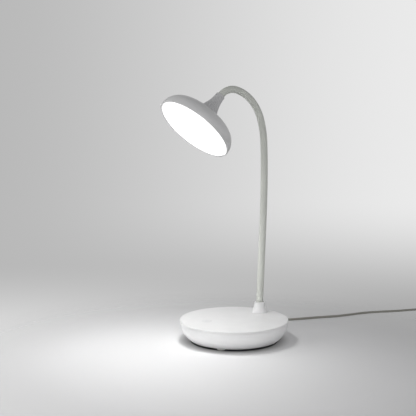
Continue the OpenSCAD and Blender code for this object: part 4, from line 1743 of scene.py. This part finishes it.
@dataclass
class Studio:
    """The camera at the photograph's place, a pale floor and soft light, in metres."""

    eye: Point = (1.0631, -1.2552, 0.4307)
    pitch: float = 8.589
    heading: float = 41.5
    lens: float = 107.1
    sensor: float = 36.0
    floor: float = 40.0
    near: Point = (0.079, -0.089, 0.0)
    real_within: float = 0.2
    room_beyond: float = 0.44
    softboxes: tuple[SoftLight, ...] = (
        SoftLight("left_softbox", (-1.45, -0.75, 0.95), (0, 0, 0.15), 1.1, 6.5),
        SoftLight("front_left_softbox", (-0.45, -1.95, 0.6), (0, 0, 0.15), 1.0, 6.5),
        SoftLight("front_fill", (1.9, -1.7, 1.5), (0, 0, 0.1), 1.6, 16.5),
    )
    lit_size: float = 0.1
    lit_watts: float = 0.62

    def build_camera(self) -> None:
        """Sets up the camera."""
        data = bpy.data.cameras.new("studio_camera")
        data.lens, data.sensor_width = self.lens, self.sensor
        data.clip_start, data.clip_end = 0.05, 60.0
        camera = bpy.data.objects.new("studio_camera", data)
        camera.location = self.eye
        camera.rotation_euler = (math.radians(90 - self.pitch), 0, math.radians(self.heading))
        bpy.context.scene.collection.objects.link(camera)
        bpy.context.scene.camera = camera

    def build_floor(self) -> None:
        """A wide pale floor: real near the lamp, with a painted contact shadow round the base, and
        farther off it gives way to the room.
        """
        put_down()
        bpy.ops.mesh.primitive_circle_add(vertices=96, radius=self.floor, fill_type="NGON")
        floor = fix(bpy.context.object, "studio_floor")
        tree = Tree("studio_floor")
        at = tree.add("TexCoord", output="Object")
        away = tree.away(at)
        paper = tree.blend(grey(0.9), grey(0.94), tree.noise(at, 3, 3))
        # Painted contact shadow: the paper goes to near black under the sole and brightens back
        # out by 80 mm from the middle, where shade falls under the base.
        under, painted_shadow_fringe = away.ranged(0.0585, 0.0605), away.ranged(0.06, 0.08)
        paper = tree.blend(grey(0.05), paper, under * 0.45 + painted_shadow_fringe * 0.55)
        fibre = tree.bump(tree.noise(at, 900, 3), 0.02)
        real = tree.add(
            "BsdfPrincipled", {}, {"Base Color": paper, "Roughness": 0.7, "Normal": fibre}
        )
        room = tree.add("BsdfTransparent")
        far = tree.away(at, self.near).ranged(self.real_within, self.room_beyond)
        mixed = tree.add("MixShader", {}, {0: far * tree.seen(), 1: real, 2: room})
        tree.add("OutputMaterial", {}, {"Surface": mixed})
        floor.data.materials.append(tree.owner)

    def build_light(self, head: Matrix) -> None:
        """The softboxes and the lit face's own light, which rides on the head.

        Args:
            head: the head's place, whose lit face gives light.
        """
        for softbox in self.softboxes:
            softbox.build()
        face, aim = head @ Vector((0, 0, -1.5 * MM)), head @ Vector((0, 0, -0.2))
        shape = LightShape.ROUND
        lit = SoftLight("lit_face", face, aim, self.lit_size, self.lit_watts, shape)
        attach(lit.build(), Body.HEAD.value)

    def build_room(self) -> None:
        """An even room that is darker overhead, and the tones that it shows behind the lamp."""
        tree = Tree("studio_room", room=True)
        way = tree.add("TexCoord", output="Generated")
        rise = tree.along(way, (0, 0, 1))
        up = rise.ranged(0.1, 0.9)
        a = math.radians(self.heading)
        side = tree.along(way, (math.cos(a), math.sin(a), 0)).ranged(-0.2, 0.2)
        light = tree.blend(grey(0.5, 0.005), grey(0.07, 0.005), up)
        left = tree.blend(grey(0.72), grey(0.48), rise.ranged(-0.25, -0.19))
        right = tree.blend(grey(0.38), grey(0.83), rise.ranged(-0.24, -0.14))
        view = tree.blend(tree.blend(left, right, side), grey(0.4), up)
        lighting, shown = (
            tree.add("Background", {}, {"Color": tone, "Strength": 1.0}) for tone in (light, view)
        )
        mixed = tree.add("MixShader", {}, {0: tree.seen(), 1: lighting, 2: shown})
        tree.add("OutputWorld", {}, {"Surface": mixed})
        bpy.context.scene.world = tree.owner

    def build(self, head: Matrix) -> None:
        """Builds the floor, the light, the room and the plain view settings.

        Args:
            head: the head's place.
        """
        self.build_floor()
        self.build_light(head)
        self.build_room()
        bpy.context.scene.view_settings.view_transform = "Standard"


def dress_frame() -> None:
    """Gives every CAD node that stays in view its finish."""
    for name, finish in CAD_FINISHES.items():
        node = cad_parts[name]
        node.data.materials.clear()
        node.data.materials.append(finish.material())
        log.info("%s keeps its CAD shape in %s", name, finish.name)


def main() -> None:
    """Builds the scene in order: camera and cord, base, neck, head, frame and studio."""
    logging.basicConfig(level=logging.INFO, format="%(name)s: %(message)s")
    studio = Studio()
    studio.build_camera()
    Lead().build()
    Base().build()
    neck = Neck()
    neck.build()
    head = Head(neck)
    head.build()
    dress_frame()
    studio.build(head.place())


if __name__ == "__main__":
    main()
